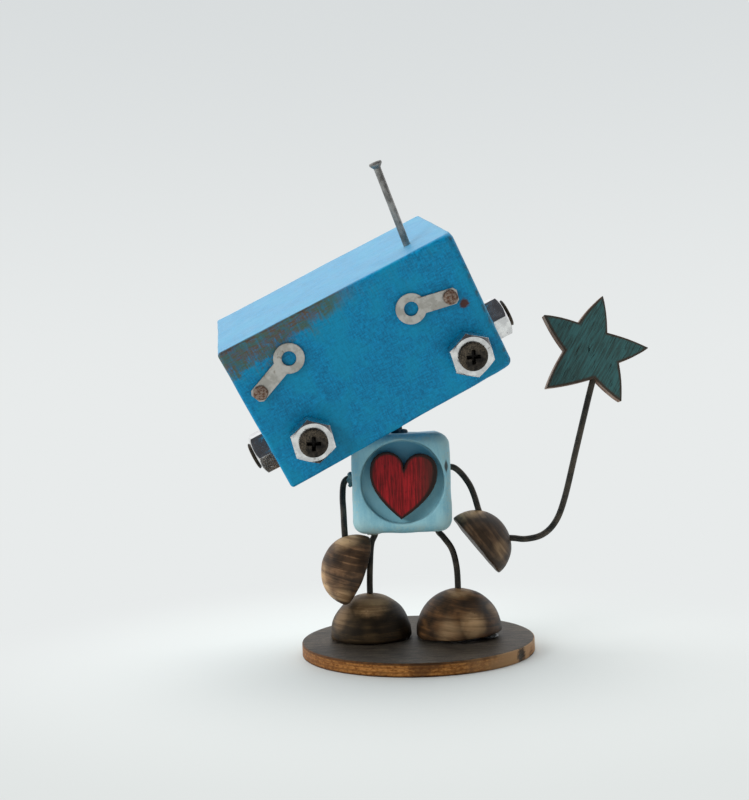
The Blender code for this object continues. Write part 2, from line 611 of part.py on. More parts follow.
brow("brow_left", brow_left, BROW_LEFT_REACH)
brow("brow_right", brow_right, BROW_RIGHT_REACH)
tack("brow_tack_left", brow_left)
tack("brow_tack_right", brow_right)

# ---------------------------------------------------------------------------------- antenna
flare = 0.0014
nail_profile = [(0, -NAIL_IN_WOOD), (NAIL_RADIUS, -NAIL_IN_WOOD + 2 * NAIL_RADIUS),
                (NAIL_RADIUS, NAIL_OUT - flare), (NAIL_HEAD_RADIUS, NAIL_OUT - 0.4 * flare),
                (NAIL_HEAD_RADIUS, NAIL_OUT - 0.1 * flare), (0.7 * NAIL_HEAD_RADIUS, NAIL_OUT),
                (0, NAIL_OUT - 0.3 * flare)]
add("antenna_nail", turned(nail_profile, 16), STEEL, nail_frame, block_frame)
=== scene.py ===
# %% [markdown]
# # A little robot figure of painted wood and hardware
#
# The figure stands on a stained plywood disc. Its head and chest are painted wooden blocks, its hands and
# feet are split wooden balls, and its limbs are dark iron wire. Hexagon nuts and countersunk screws make
# the eyes and ears, soldering lugs on tacks make the brows, and a nail is the antenna.
#
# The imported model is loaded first, as a fixed frame. It already has every piece at its true size and place,
# so each step below asks it where things are, and never moves them. Some pieces are copies of the packed
# mesh with softer edges. Others are modelled again with finer shapes, in the same place.

import json
import math

import bmesh
import bpy
from mathutils import Matrix, Vector, noise


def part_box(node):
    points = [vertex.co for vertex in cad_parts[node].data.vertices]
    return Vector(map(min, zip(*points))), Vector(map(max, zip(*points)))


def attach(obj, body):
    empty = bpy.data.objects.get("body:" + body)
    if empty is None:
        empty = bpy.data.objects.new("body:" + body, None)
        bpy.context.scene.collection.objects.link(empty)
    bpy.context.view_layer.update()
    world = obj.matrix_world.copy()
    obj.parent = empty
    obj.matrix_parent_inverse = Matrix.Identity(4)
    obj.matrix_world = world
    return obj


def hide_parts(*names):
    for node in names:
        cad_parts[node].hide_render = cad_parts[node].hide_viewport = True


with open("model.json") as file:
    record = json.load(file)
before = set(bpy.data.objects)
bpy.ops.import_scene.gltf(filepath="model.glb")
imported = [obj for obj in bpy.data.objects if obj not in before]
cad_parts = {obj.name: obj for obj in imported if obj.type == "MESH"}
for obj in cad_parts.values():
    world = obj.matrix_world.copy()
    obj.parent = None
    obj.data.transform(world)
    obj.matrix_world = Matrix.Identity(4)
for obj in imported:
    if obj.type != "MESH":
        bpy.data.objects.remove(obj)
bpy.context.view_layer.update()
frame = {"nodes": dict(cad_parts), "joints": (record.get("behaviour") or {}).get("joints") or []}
nodes = frame["nodes"]
joints = {joint["name"]: joint for joint in frame["joints"]}
MM = 0.001

# %% [markdown]
# ## Camera, floor and light
#
# A small object looks like itself when it is seen from about a forearm's length, from just above its chest.
# A lens of 50 mm on a 36 mm sensor does that without stretching the near hand. The camera is rolled by two
# degrees, because the figure stands a touch out of plumb when it is seen from there.
#
# The light is that of a white tent on a table: one large soft lamp overhead and a little behind, another
# like a window in front at the left, and a pale room all round. Big lamps give the wood soft shadows.
# Bright metal does not mirror them: what the nuts show is the room, pale at the back and dim on the side of
# the camera.

# %% Camera
CAMERA_PLACE = Vector((-9.25, -286.4, 62.3)) * MM
CAMERA_TILT = math.radians(0.578)      # upwards from level
CAMERA_ROLL = math.radians(-1.90)
LENS = 49.5

camera = bpy.data.objects.new("camera", bpy.data.cameras.new("camera"))
camera.data.lens = LENS
camera.data.sensor_width = 36.0
camera.data.clip_start = 0.01
camera.location = CAMERA_PLACE
look = Matrix.Rotation(math.radians(90) + CAMERA_TILT, 4, "X") @ Matrix.Rotation(CAMERA_ROLL, 4, "Z")
camera.rotation_euler = look.to_euler()
bpy.context.scene.collection.objects.link(camera)
bpy.context.scene.camera = camera
bpy.context.scene.view_settings.view_transform = "Standard"
print("camera looks along", [round(v, 3) for v in look.to_3x3() @ Vector((0, 0, -1))])

# %% Floor and lamps
FLOOR_SIZE = 6.0
floor_mesh = bmesh.new()
bmesh.ops.create_grid(floor_mesh, x_segments=1, y_segments=1, size=FLOOR_SIZE / 2)
floor = bpy.data.objects.new("floor", bpy.data.meshes.new("floor"))
floor_mesh.to_mesh(floor.data)
floor_mesh.free()
bpy.context.scene.collection.objects.link(floor)


def lamp(name, place, aim, width, height, watts, tint=(1.0, 1.0, 1.0)):
    """A rectangular soft lamp at place, pointed at aim. Bright metal doesn't mirror it, only the room."""
    data = bpy.data.lights.new(name, "AREA")
    data.shape = "RECTANGLE"
    data.size = width
    data.size_y = height
    data.energy = watts
    data.color = tint
    made = bpy.data.objects.new(name, data)
    made.location = place
    made.visible_glossy = False
    made.rotation_euler = (Vector(aim) - Vector(place)).to_track_quat("-Z", "Y").to_euler()
    bpy.context.scene.collection.objects.link(made)


CHEST = Vector((0, 0, 0.06))
lamp("overhead", (-0.12, 0.22, 0.80), CHEST, 0.9, 0.6, 4.8)
lamp("window", (-0.70, -0.55, 0.38), CHEST, 0.6, 0.5, 5.4)

# %% [markdown]
# ## Numbers and colours in a shader
#
# A procedural finish is a sum of many small patterns, and wired by hand it is long and hard to read. So one
# small class stands for a shader socket and turns plain arithmetic into Math nodes, and another makes a
# material and adds any node to it. Colours are written as they look on a screen and turned linear once.

# %% A socket with arithmetic, and a material that adds nodes
class Signal:
    """A socket in a node tree that adds, subtracts and multiplies like a number."""

    def __init__(self, finish, socket):
        self.finish = finish
        self.socket = socket

    def math(self, operation, first, second):
        """A Math node that joins two numbers or signals."""
        return self.finish.node("ShaderNodeMath", {"operation": operation}, {0: first, 1: second})

    def __add__(self, other):
        return self.math("ADD", self, other)

    def __radd__(self, other):
        return self.math("ADD", other, self)

    def __sub__(self, other):
        return self.math("SUBTRACT", self, other)

    def __rsub__(self, other):
        return self.math("SUBTRACT", other, self)

    def __mul__(self, other):
        return self.math("MULTIPLY", self, other)

    def __rmul__(self, other):
        return self.math("MULTIPLY", other, self)

    def at_least(self, other):
        return self.math("MAXIMUM", self, other)

    def rise(self, low, high):
        """0 below low, 1 above high, and a smooth step between; low above high turns it round."""
        sockets = {0: self, 1: low, 2: high, 3: 0.0, 4: 1.0}
        return self.finish.node("ShaderNodeMapRange", {"interpolation_type": "SMOOTHSTEP"}, sockets)


def screen(red, green, blue):
    """A colour given as 0 to 255 on a screen, as linear RGBA."""
    def linear(value):
        """One channel as linear light."""
        value /= 255
        return value / 12.92 if value <= 0.04045 else ((value + 0.055) / 1.055) ** 2.4
    return (linear(red), linear(green), linear(blue), 1.0)


class Finish:
    """A node tree that ends in one shader, with a method that adds any node."""

    def __init__(self, tree, shader):
        self.tree = tree
        self.shader = tree.nodes[shader]

    def node(self, kind, settings, sockets, output=0):
        """Add a node: its settings first, then the values or signals of its sockets."""
        made = self.tree.nodes.new(kind)
        for key, value in settings.items():
            setattr(made, key, value)
        for key, value in sockets.items():
            if isinstance(value, Signal):
                self.tree.links.new(value.socket, made.inputs[key])
            else:
                made.inputs[key].default_value = value
        return Signal(self, made.outputs[output])

    def feed(self, name, value):
        """Give the shader's own socket a value or a signal."""
        if isinstance(value, Signal):
            self.tree.links.new(value.socket, self.shader.inputs[name])
        else:
            self.shader.inputs[name].default_value = value

    def mix(self, share, first, second):
        """A colour that goes from first to second as share goes from 0 to 1."""
        sockets = {0: share, 6: first, 7: second}
        return self.node("ShaderNodeMix", {"data_type": "RGBA"}, sockets, output=2)

    def spot(self, place=Matrix.Identity(4)):
        """Object coordinates in metres, measured in the frame that place stands for."""
        point = self.node("ShaderNodeTexCoord", {}, {}, output=3)
        inverse = place.inverted()
        settings = {"vector_type": "POINT"}
        sockets = {"Vector": point, "Location": inverse.translation, "Rotation": inverse.to_euler()}
        return self.node("ShaderNodeMapping", settings, sockets)

    def axis(self, spot, which):
        """One coordinate of a spot, as a number in metres."""
        return self.node("ShaderNodeSeparateXYZ", {}, {0: spot}, output="XYZ".index(which))

    def noise(self, spot, size, stretch=(1, 1, 1), detail=3.0, roughness=0.55, distortion=0.0):
        """Cloudy noise with lumps of size metres, longer along an axis whose stretch is over 1."""
        scale = tuple(1 / (size * share) for share in stretch)
        point = self.node("ShaderNodeVectorMath", {"operation": "MULTIPLY"}, {0: spot, 1: scale})
        sockets = {"Vector": point, "Scale": 1.0, "Detail": detail, "Roughness": roughness,
                   "Distortion": distortion}
        return self.node("ShaderNodeTexNoise", {}, sockets)

    def value(self, number):
        """A number as a signal."""
        return self.node("ShaderNodeMath", {"operation": "ADD"}, {0: number, 1: 0.0})

    def math_of(self, operation, signal):
        """A Math node that works on one signal, such as ABSOLUTE."""
        return self.node("ShaderNodeMath", {"operation": operation}, {0: signal})

    def distance(self, spot, point):
        """How far a spot is from a point, in metres."""
        return self.node("ShaderNodeVectorMath", {"operation": "DISTANCE"}, {0: spot, 1: point}, output=1)

    def attribute(self, name):
        """A number kept on the mesh itself."""
        return self.node("ShaderNodeAttribute", {"attribute_name": name}, {}, output=2)

    def bump(self, height, depth, strength=1.0):
        """Raise the surface by height, a signal from 0 to 1, times depth in metres."""
        self.feed("Normal", self.node("ShaderNodeBump", {},
                                      {"Strength": strength, "Distance": depth, "Height": height}))


def new_finish(name, roughness=0.5, metallic=0.0, specular=0.5):
    """An empty Principled finish."""
    material = bpy.data.materials.new(name)
    material.use_nodes = True
    finish = Finish(material.node_tree, "Principled BSDF")
    finish.material = material
    finish.feed("Roughness", roughness)
    finish.feed("Metallic", metallic)
    finish.feed("Specular IOR Level", specular)
    return finish


def wear(piece, finish):
    """Give a piece its only material."""
    piece.data.materials.clear()
    piece.data.materials.append(finish.material)


# %% [markdown]
# ## The room
#
# What a bright nut shows is mostly the room. In a tent that is open towards the camera the back and the
# roof are pale, and the side of the camera is dim. The lens itself sees only the pale backdrop, brightest
# at the horizon. So the world gives one brightness to the camera and another to everything that it lights.
# The floor is a sheet of paper that sweeps up into that backdrop: it takes light and shadow near the
# figure, and farther off it glows with the backdrop's own brightness as painted light, a little dimmer
# towards the camera, so that no line shows where they meet.

# %% The room and the floor's paper
HORIZON = screen(232, 235, 235)
SKY = screen(216, 220, 221)
DIM_PAPER_GLOW = screen(225, 229, 228)
DIM_FRONT = 0.07
PALE_BACK = 1.05

world = bpy.data.worlds.new("room")
world.use_nodes = True
bpy.context.scene.world = world
room = Finish(world.node_tree, "Background")
way = room.node("ShaderNodeTexCoord", {}, {}, output=0)
height = room.axis(way, "Z")
backdrop = room.mix(height.rise(0.0, 0.42), HORIZON, SKY)
level = DIM_FRONT + (PALE_BACK - DIM_FRONT) * room.axis(way, "Y").rise(-0.55, 0.30)
grey = room.node("ShaderNodeCombineColor", {}, {0: level, 1: level * 1.01, 2: level * 1.02 + 0.008})
seen = room.node("ShaderNodeLightPath", {}, {}, output=0)
room.feed("Color", room.mix(seen, grey, backdrop))

paper = new_finish("paper_floor", roughness=0.8, specular=0.2)
paper.feed("Base Color", screen(214, 218, 215))
tree = paper.material.node_tree
glow = tree.nodes.new("ShaderNodeBsdfPrincipled")
glow.inputs["Base Color"].default_value = (0, 0, 0, 1)
glow.inputs["Specular IOR Level"].default_value = 0.0
glow.inputs["Emission Strength"].default_value = 1.0
spot = paper.spot()
far = paper.distance(spot, Vector((0.0, 0.0, 0.0)))
# painted light: far from the figure the paper glows instead of taking light, a little dimmer towards the
# camera
towards_camera = paper.axis(spot, "Y").rise(0.02, -0.12) * far.rise(0.8, 0.25)
tree.links.new(paper.mix(towards_camera, HORIZON, DIM_PAPER_GLOW).socket, glow.inputs["Emission Color"])
blend = tree.nodes.new("ShaderNodeMixShader")
tree.links.new(far.rise(0.015, 0.13).socket, blend.inputs[0])
tree.links.new(paper.shader.outputs[0], blend.inputs[1])
tree.links.new(glow.outputs[0], blend.inputs[2])
tree.links.new(blend.outputs[0], tree.nodes["Material Output"].inputs["Surface"])
wear(floor, paper)

# %% [markdown]
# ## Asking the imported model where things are
#
# Every wooden piece, nut and plate has flat sides, and those say all that is needed to model it again in
# the same place: which way a block is turned, how thick a plate is, how wide a split ball is. So the packed
# mesh is copied, its doubled corners are merged, and its triangles are gathered into flat sides, the
# largest first.

# %% Flat sides, outlines and new pieces
def cad_shape(node):
    """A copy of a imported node's mesh, in the frame of the row, with doubled corners merged."""
    shape = bmesh.new()
    shape.from_mesh(nodes[node].data)
    bmesh.ops.transform(shape, matrix=nodes[node].matrix_world, verts=shape.verts[:])
    bmesh.ops.remove_doubles(shape, verts=shape.verts[:], dist=0.002 * MM)
    bmesh.ops.recalc_face_normals(shape, faces=shape.faces[:])
    return shape


def flat_sides(node):
    """The flat sides of a node as (area, normal, points), the largest first."""
    shape = cad_shape(node)
    groups = []
    for face in shape.faces:
        level = face.normal.dot(face.verts[0].co)
        for group in groups:
            if face.normal.dot(group[1]) > 0.9998 and abs(level - group[3]) < 0.03 * MM:
                group[0] += face.calc_area()
                group[2].extend(vert.co.copy() for vert in face.verts)
                break
        else:
            points = [vert.co.copy() for vert in face.verts]
            groups.append([face.calc_area(), face.normal.copy(), points, level])
    shape.free()
    return [group[:3] for group in sorted(groups, key=lambda group: -group[0])]


def outline(node, way):
    """The corners, in order, of the largest side of a plate that looks along way."""
    shape = cad_shape(node)
    level = max(face.normal.dot(face.verts[0].co) for face in shape.faces if face.normal.dot(way) > 0.999)
    side = [face for face in shape.faces
            if face.normal.dot(way) > 0.999 and face.normal.dot(face.verts[0].co) > level - 0.03 * MM]
    rim = [edge for edge in shape.edges if sum(face in side for face in edge.link_faces) == 1]
    loops = {}
    for edge in rim:
        for vert in edge.verts:
            loops.setdefault(vert, []).append(edge)
    best = []
    while rim:
        vert = rim[0].verts[0]
        walk = []
        while True:
            step = next((edge for edge in loops[vert] if edge in rim), None)
            if step is None:
                break
            rim.remove(step)
            walk.append(vert.co.copy())
            vert = step.other_vert(vert)
        best = max(best, walk, key=len)
    shape.free()
    return best


def new_piece(name, shape, body, replaced, finish, sharp=35):
    """Make an object of a bmesh that is modelled in place, riding on body, shaded smooth up to an angle."""
    bmesh.ops.recalc_face_normals(shape, faces=shape.faces[:])
    mesh = bpy.data.meshes.new(name)
    shape.to_mesh(mesh)
    shape.free()
    mesh.shade_smooth()
    mesh.set_sharp_from_angle(angle=math.radians(sharp))
    made = bpy.data.objects.new(name, mesh)
    bpy.context.scene.collection.objects.link(made)
    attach(made, body)
    if replaced:
        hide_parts(replaced)
    wear(made, finish)
    print(name, "faces:", len(mesh.polygons))
    return made


def skin(shape, rings):
    """Close a stack of rings of vertices with faces, from the first ring to the last, and cap both ends."""
    for first, second in zip(rings, rings[1:]):
        for i in range(len(first)):
            shape.faces.new((first[i - 1], first[i], second[i], second[i - 1]))
    shape.faces.new(rings[0])
    shape.faces.new(rings[-1])
    bmesh.ops.recalc_face_normals(shape, faces=shape.faces[:])


def roughen(shape, size, depth, seed=0.0):
    """Push every vertex along its normal by gentle noise with lumps of the given size."""
    shape.normal_update()
    shift = Vector((seed, 0, 0))
    moves = [(vert, vert.normal * noise.noise(vert.co / size + shift) * depth) for vert in shape.verts]
    for vert, move in moves:
        vert.co += move


def ease(value, low, high):
    """A smooth step from 0 at low to 1 at high."""
    share = min(1.0, max(0.0, (value - low) / (high - low)))
    return share * share * (3 - 2 * share)


# %% [markdown]
# ## The head's own directions
#
# The head hangs to one side on a slanting neck, so its block is easiest to think of in its own frame. The
# brow lugs turn about pins that stand square to the face, which gives the way it looks, and the block's
# largest sides give the rest. In this frame X runs to the viewer's right, Y back from the face, and Z up
# from the top.

# %% The head's frame
front_way = Vector(joints["brow_left_pivot"]["axis"]).normalized()
if front_way.y > 0:
    front_way = -front_way
sides = flat_sides("head_block")[:6]
side_planes = [(normal, normal.dot(points[0])) for area, normal, points in sides]
top_way = max((normal for normal, level in side_planes), key=lambda normal: normal.z)
right_way = top_way.cross(front_way).normalized()
if right_way.x < 0:
    right_way = -right_way


def plane_along(way):
    """The block's side that looks most along way, as (normal, level)."""
    return max(side_planes, key=lambda plane: plane[0].dot(way))


def crossing(*ways):
    """The corner where three sides meet."""
    planes = [plane_along(way) for way in ways]
    return Matrix([plane[0] for plane in planes]).inverted() @ Vector([plane[1] for plane in planes])


block_corners = {}
for x in (-1, 1):
    for y in (-1, 1):
        for z in (-1, 1):
            block_corners[(x, y, z)] = crossing(right_way * x, front_way * -y, top_way * z)
face_top = (block_corners[(-1, -1, 1)] + block_corners[(1, -1, 1)]) / 2
head_frame = Matrix((right_way, -front_way, top_way)).transposed().to_4x4()
head_frame.translation = face_top
head_width = (block_corners[(1, -1, 1)] - block_corners[(-1, -1, 1)]).length
head_depth = (block_corners[(1, 1, 1)] - block_corners[(1, -1, 1)]).length
head_height = (block_corners[(-1, -1, 1)] - block_corners[(-1, -1, -1)]).length
print("head in mm:", [round(v / MM, 2) for v in (head_width, head_depth, head_height)])

# %% [markdown]
# ## Blue paint over wood
#
# The head is a sawn block under one coat of strong blue acrylic. The brush leaves a weave of fine streaks,
# and the coat is thinnest on the edges. Along the top of the face it was rubbed with brown and green,
# heaviest at the left corner, so the block looks old. Its top is painted a paler, patchy blue as painted
# sheen, standing in for the light and grazing reflection that the top catches. So the finish is one blue
# with a fine weave in it, brown patches whose chance falls off with the distance from the top edge, and a
# painted lighter top.

# %% Blue paint
EDGE_BROWN = (0.135, 0.062, 0.018, 1.0)
EDGE_GREEN = (0.075, 0.115, 0.062, 1.0)

blue = new_finish("blue_paint_worn", roughness=0.42, specular=0.22)
spot = blue.spot(head_frame)
across = blue.axis(spot, "X")
back = blue.axis(spot, "Y")
up = blue.axis(spot, "Z")
weave = blue.noise(spot, 0.5 * MM, stretch=(3, 1, 0.8), detail=3.0)
cross_weave = blue.noise(spot, 0.45 * MM, stretch=(0.8, 1, 3), detail=3.0)
cloud = blue.noise(spot, 9 * MM, detail=2.0)
streak = blue.noise(spot, 1.6 * MM, stretch=(0.35, 1.5, 3), detail=4.0, roughness=0.65)
patch = blue.noise(spot, 2.6 * MM, stretch=(2.0, 1, 0.8), detail=5.0, roughness=0.65)

tone = (weave * 0.5 + cross_weave * 0.5) * 0.8 + cloud * 0.2
paint = blue.mix(tone.rise(0.36, 0.64), (0.0002, 0.155, 0.310, 1), (0.0008, 0.295, 0.575, 1))
fleck = blue.noise(spot, 0.55 * MM, stretch=(2.2, 1, 0.7), detail=2.0).rise(0.60, 0.70)
paint = blue.mix(fleck * 0.28, paint, (0.0005, 0.070, 0.130, 1))
greener = (0.001, 0.260, 0.420, 1)
paint = blue.mix((cloud.rise(0.45, 0.62)) * 0.5, paint, greener)

# how far a point is down from the top edge of the face, and how near the left corner
down = 0.0 - up
leftness = across.rise(12 * MM, -30 * MM)
on_face = back.rise(1.2 * MM, 0.3 * MM)
reach = leftness * (8.5 * MM) + 2.2 * MM
near_top = (down - reach * (patch * 1.8 + streak * 0.8 - 0.75)).rise(2.6 * MM, -1.2 * MM)
corner_blot = ((across + head_width / 2) * 0.6 + down).rise(10 * MM, 1.5 * MM) * streak.rise(0.40, 0.58)
rubbed = near_top.at_least(corner_blot * 0.9) * on_face * leftness.rise(0.0, 0.30)
rubbed = rubbed * (0.50 + 0.50 * (weave * 0.5 + streak * 0.5).rise(0.38, 0.58))
rub_colour = blue.mix(patch.rise(0.42, 0.60), EDGE_BROWN, EDGE_GREEN)
paint = blue.mix(rubbed * 0.95, paint, rub_colour)
# dull olive patches farther down and to the right, where the brush ran dry
thin = (down.rise(12 * MM, 2 * MM) * leftness.at_least(0.35)) * streak.rise(0.50, 0.62) * on_face
paint = blue.mix(thin * 0.35, paint, (0.060, 0.170, 0.190, 1))

# the rim all round the face, and the right edge, worn to a thin dark line
right_rim = (across - head_width / 2 + 1.0 * MM).rise(-0.6 * MM, 0.5 * MM)
rim_wear = right_rim * on_face.at_least(0.3) * patch.rise(0.50, 0.62)
paint = blue.mix(rim_wear * 0.75, paint, (0.05, 0.07, 0.06, 1))
top_line = (down + patch * 0.9 * MM).rise(1.15 * MM, 0.45 * MM) * back.rise(1.1 * MM, 0.2 * MM)
paint = blue.mix(top_line * leftness.rise(0.05, 0.3) * 0.9, paint, (0.035, 0.030, 0.022, 1))

# a bloom of rust beside the right tack
rust_spot = blue.distance(spot, Vector((26.5, 0, -16.6)) * MM) + (patch * 1.6 + weave * 0.8) * MM
paint = blue.mix(rust_spot.rise(2.7 * MM, 2.0 * MM) * 0.95, paint, (0.095, 0.026, 0.012, 1))

# painted sheen: the top is painted a paler, patchy blue, standing in for the light and grazing reflection it
# catches
painted_top_sheen = up.rise(-0.5 * MM, -0.1 * MM) * back.rise(0.6 * MM, 1.6 * MM)
paint = blue.mix(painted_top_sheen * (0.12 + 0.50 * patch), paint, (0.270, 0.470, 0.600, 1))

# small dark nicks
nick = blue.noise(spot, 1.3 * MM, stretch=(1.8, 1, 1), detail=2.0).rise(0.745, 0.80)
paint = blue.mix(nick * 0.8, paint, (0.012, 0.05, 0.09, 1))
blue.feed("Base Color", paint)
blue.feed("Roughness", 0.38 + 0.16 * tone + rubbed * 0.22)
blue.bump((weave + cross_weave) * 0.4 + patch * 0.2 - nick * 0.8 - fleck * 0.3, 0.16 * MM, 0.75)

# %% [markdown]
# ## The head block
#
# The block was sawn and sanded by hand, so its edges aren't even: most are rounded by less than a
# millimetre, and the one at the right of the face by nearly two. A box with more lines near its edges is
# laid between the eight corners, and each point near an edge is drawn onto a round of the right size. Slow
# noise then takes the machine-made look off the sides.

# %% The head block
RIM_STEPS = 6
RIM_WIDTH = 2.4 * MM
BOX_STEPS = 36


def spread(share, length):
    """Where a grid line lies, from its even place -1 to 1: closer together near both ends."""
    index = (share + 1) / 2 * BOX_STEPS
    if index <= RIM_STEPS:
        return RIM_WIDTH * index / RIM_STEPS
    if index >= BOX_STEPS - RIM_STEPS:
        return length - RIM_WIDTH * (BOX_STEPS - index) / RIM_STEPS
    middle = (index - RIM_STEPS) / (BOX_STEPS - 2 * RIM_STEPS)
    return RIM_WIDTH + (length - 2 * RIM_WIDTH) * middle


def edge_round(point, half):
    """The rounding wanted near a point of the block."""
    near_right = (ease(point.x, half.x - 4 * MM, half.x - 1 * MM)
                  * ease(-point.y, half.y - 4 * MM, half.y - 1 * MM))
    uneven = noise.noise(point / (6 * MM)) * 0.35 * MM
    return 0.85 * MM + 0.9 * MM * near_right + uneven


half_block = Vector((head_width, head_depth, head_height)) / 2
block = bmesh.new()
bmesh.ops.create_cube(block, size=2)
bmesh.ops.subdivide_edges(block, edges=block.edges[:], cuts=BOX_STEPS - 1, use_grid_fill=True)
for vert in block.verts:
    point = Vector([spread(vert.co[i], 2 * half_block[i]) - half_block[i] for i in range(3)])
    rounding = edge_round(point, half_block)
    inner = Vector([min(half_block[i] - rounding, max(rounding - half_block[i], point[i])) for i in range(3)])
    out = point - inner
    if out.length > 1e-9:
        point = inner + out.normalized() * rounding
    share = Vector([point[i] / half_block[i] for i in range(3)])
    placed = Vector((0, 0, 0))
    for signs, corner in block_corners.items():
        weight = math.prod((1 + signs[i] * share[i]) / 2 for i in range(3))
        placed += corner * weight
    vert.co = placed
roughen(block, 14 * MM, 0.10 * MM)
roughen(block, 2.5 * MM, 0.03 * MM, seed=5.0)
new_piece("head_block_soft", block, "head", "head_block", blue, sharp=50)
# %% [markdown]
# ## Pale blue paint, and the chest block
#
# The chest is a small wooden cube with generous rounded corners, and a shallow round pocket was milled in
# its front. Its paint is a thin wash of pale blue. Where fingers touch it, at the corners and the lip of
# the pocket, it has gone grey and greenish, and there is a small dark split near its right edge.
#
# The block is built as a stack of closed loops from the back to the front: rounded squares outside, circles
# in the pocket, each bridged to the next. A rounded cube cut square across is a rounded square, and its
# corner radius shrinks as much as its side does, so the loops give true ball corners.

# %% The chest block
low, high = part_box("torso_block")
chest_middle = (low + high) / 2
chest_half = (high.x - low.x) / 2
pocket_level = high.y
pocket_points = []
for area, normal, points in flat_sides("torso_block"):
    level = points[0].y
    if normal.y < -0.99 and level > low.y + 0.5 * MM and level < pocket_level:
        pocket_level = level
        pocket_points = points
pocket_low = Vector([min(point[i] for point in pocket_points) for i in range(3)])
pocket_high = Vector([max(point[i] for point in pocket_points) for i in range(3)])
pocket_middle = (pocket_low + pocket_high) / 2
pocket_radius = (pocket_high.x - pocket_low.x) / 2
print("pocket in mm:", round(pocket_radius / MM, 2), "deep", round((pocket_level - low.y) / MM, 2))

CHEST_ROUNDING = 3.2 * MM
LOOP_ARC = 10            # steps in each corner of a loop
LOOP_SIDE = 10           # steps along each side


def square_loop(inset):
    """A rounded square round the chest's axis, its side drawn in by inset: (X, Z) points."""
    core = chest_half - CHEST_ROUNDING
    radius = CHEST_ROUNDING - inset
    points = []
    for quarter in range(4):
        turn = math.tau * quarter / 4
        corner = Vector((core, core))
        for i in range(LOOP_ARC + 1):
            angle = math.tau / 4 * i / LOOP_ARC
            point = corner + Vector((math.cos(angle), math.sin(angle))) * radius
            points.append(Matrix.Rotation(turn, 2) @ point)
        start = corner + Vector((0, radius))
        end = Vector((-core, core + radius))
        for i in range(1, LOOP_SIDE):
            points.append(Matrix.Rotation(turn, 2) @ start.lerp(end, i / LOOP_SIDE))
    return points


outer = square_loop(0)
angles = [math.atan2(point.y, point.x) for point in outer]


def pocket_loop(radius):
    """A circle round the pocket's axis, with as many points as the rounded squares."""
    centre = Vector((pocket_middle.x - chest_middle.x, pocket_middle.z - chest_middle.z))
    return [centre + Vector((math.cos(a), math.sin(a))) * radius for a in angles]


def skin_depth(point):
    """How deep the rounded front lies at (X, Z), and in the pocket, how deep the pocket is."""
    core = chest_half - CHEST_ROUNDING
    over = Vector([max(abs(value) - core, 0) for value in point])
    return CHEST_ROUNDING - math.sqrt(max(CHEST_ROUNDING ** 2 - over.length_squared, 0))


loops = []               # one list of (X, depth behind the front, Z) for each loop
side = 2 * chest_half
for share in (0.35, 0.7):
    loops.append([(x * share, side, z * share) for x, z in outer])
for i in range(9):
    angle = math.tau / 4 * i / 8
    inset = CHEST_ROUNDING * (1 - math.sin(angle))
    loops.append([(x, side - CHEST_ROUNDING * (1 - math.cos(angle)), z) for x, z in square_loop(inset)])
for i in range(1, 8):
    depth = side - CHEST_ROUNDING - (side - 2 * CHEST_ROUNDING) * i / 8
    loops.append([(x, depth, z) for x, z in outer])
for degrees in (0, 8, 16, 24, 32, 41):
    inset = CHEST_ROUNDING * (1 - math.cos(math.radians(degrees)))
    depth = CHEST_ROUNDING * (1 - math.sin(math.radians(degrees)))
    loops.append([(x, depth, z) for x, z in square_loop(inset)])
lip = 0.40 * MM
last_square = square_loop(CHEST_ROUNDING * (1 - math.cos(math.radians(41))))
for share in (0.25, 0.5, 0.75):
    ring = [a.lerp(b, share) for a, b in zip(last_square, pocket_loop(pocket_radius + lip))]
    loops.append([(point.x, skin_depth(point), point.y) for point in ring])
deep = pocket_level - low.y
for radius, share in ((lip, 0.0), (0.6 * lip, 0.05), (0.3 * lip, 0.18), (0.1 * lip, 0.4), (0.0, 0.7),
                      (-0.15 * lip, 0.92), (-0.5 * lip, 1.0), (-6 * MM, 1.0)):
    ring = pocket_loop(pocket_radius + radius)
    loops.append([(point.x, skin_depth(point) * (1 - share) + deep * share, point.y) for point in ring])

chest = bmesh.new()
corner = Vector((chest_middle.x, low.y, chest_middle.z))
skin(chest, [[chest.verts.new(corner + Vector(point)) for point in loop] for loop in loops])
roughen(chest, 5 * MM, 0.22 * MM)
roughen(chest, 1.2 * MM, 0.03 * MM, seed=2.0)

pale = new_finish("pale_blue_wash", roughness=0.5, specular=0.35)
spot = pale.spot(Matrix.Translation(chest_middle))
cloud = pale.noise(spot, 6 * MM, detail=3.0)
grain = pale.noise(spot, 0.7 * MM, stretch=(1, 1, 5), detail=4.0)
fine = pale.noise(spot, 0.45 * MM, detail=3.0)
wide = pale.axis(spot, "X")
tall = pale.axis(spot, "Z")
deep_in = pale.axis(spot, "Y")
paint = pale.mix((cloud * 0.55 + grain * 0.3 + fine * 0.15).rise(0.38, 0.62),
                 (0.225, 0.500, 0.600, 1), (0.330, 0.620, 0.690, 1))
edge_x = pale.math_of("ABSOLUTE", wide)
edge_z = pale.math_of("ABSOLUTE", tall)
edge_y = pale.math_of("ABSOLUTE", deep_in)
near_edge = edge_x.at_least(edge_z).rise(9.6 * MM, 12.0 * MM)
corner_wear = (edge_x + edge_z + edge_y).rise(29 * MM, 35 * MM)
worn = (near_edge * (cloud * 0.6 + fine * 0.4).rise(0.44, 0.60)).at_least(corner_wear * 0.8)
paint = pale.mix(worn * 0.6, paint, (0.400, 0.490, 0.450, 1))
grubby = (wide + tall).rise(9 * MM, 21 * MM) * cloud.rise(0.40, 0.60)
paint = pale.mix(grubby * 0.25, paint, (0.210, 0.330, 0.320, 1))
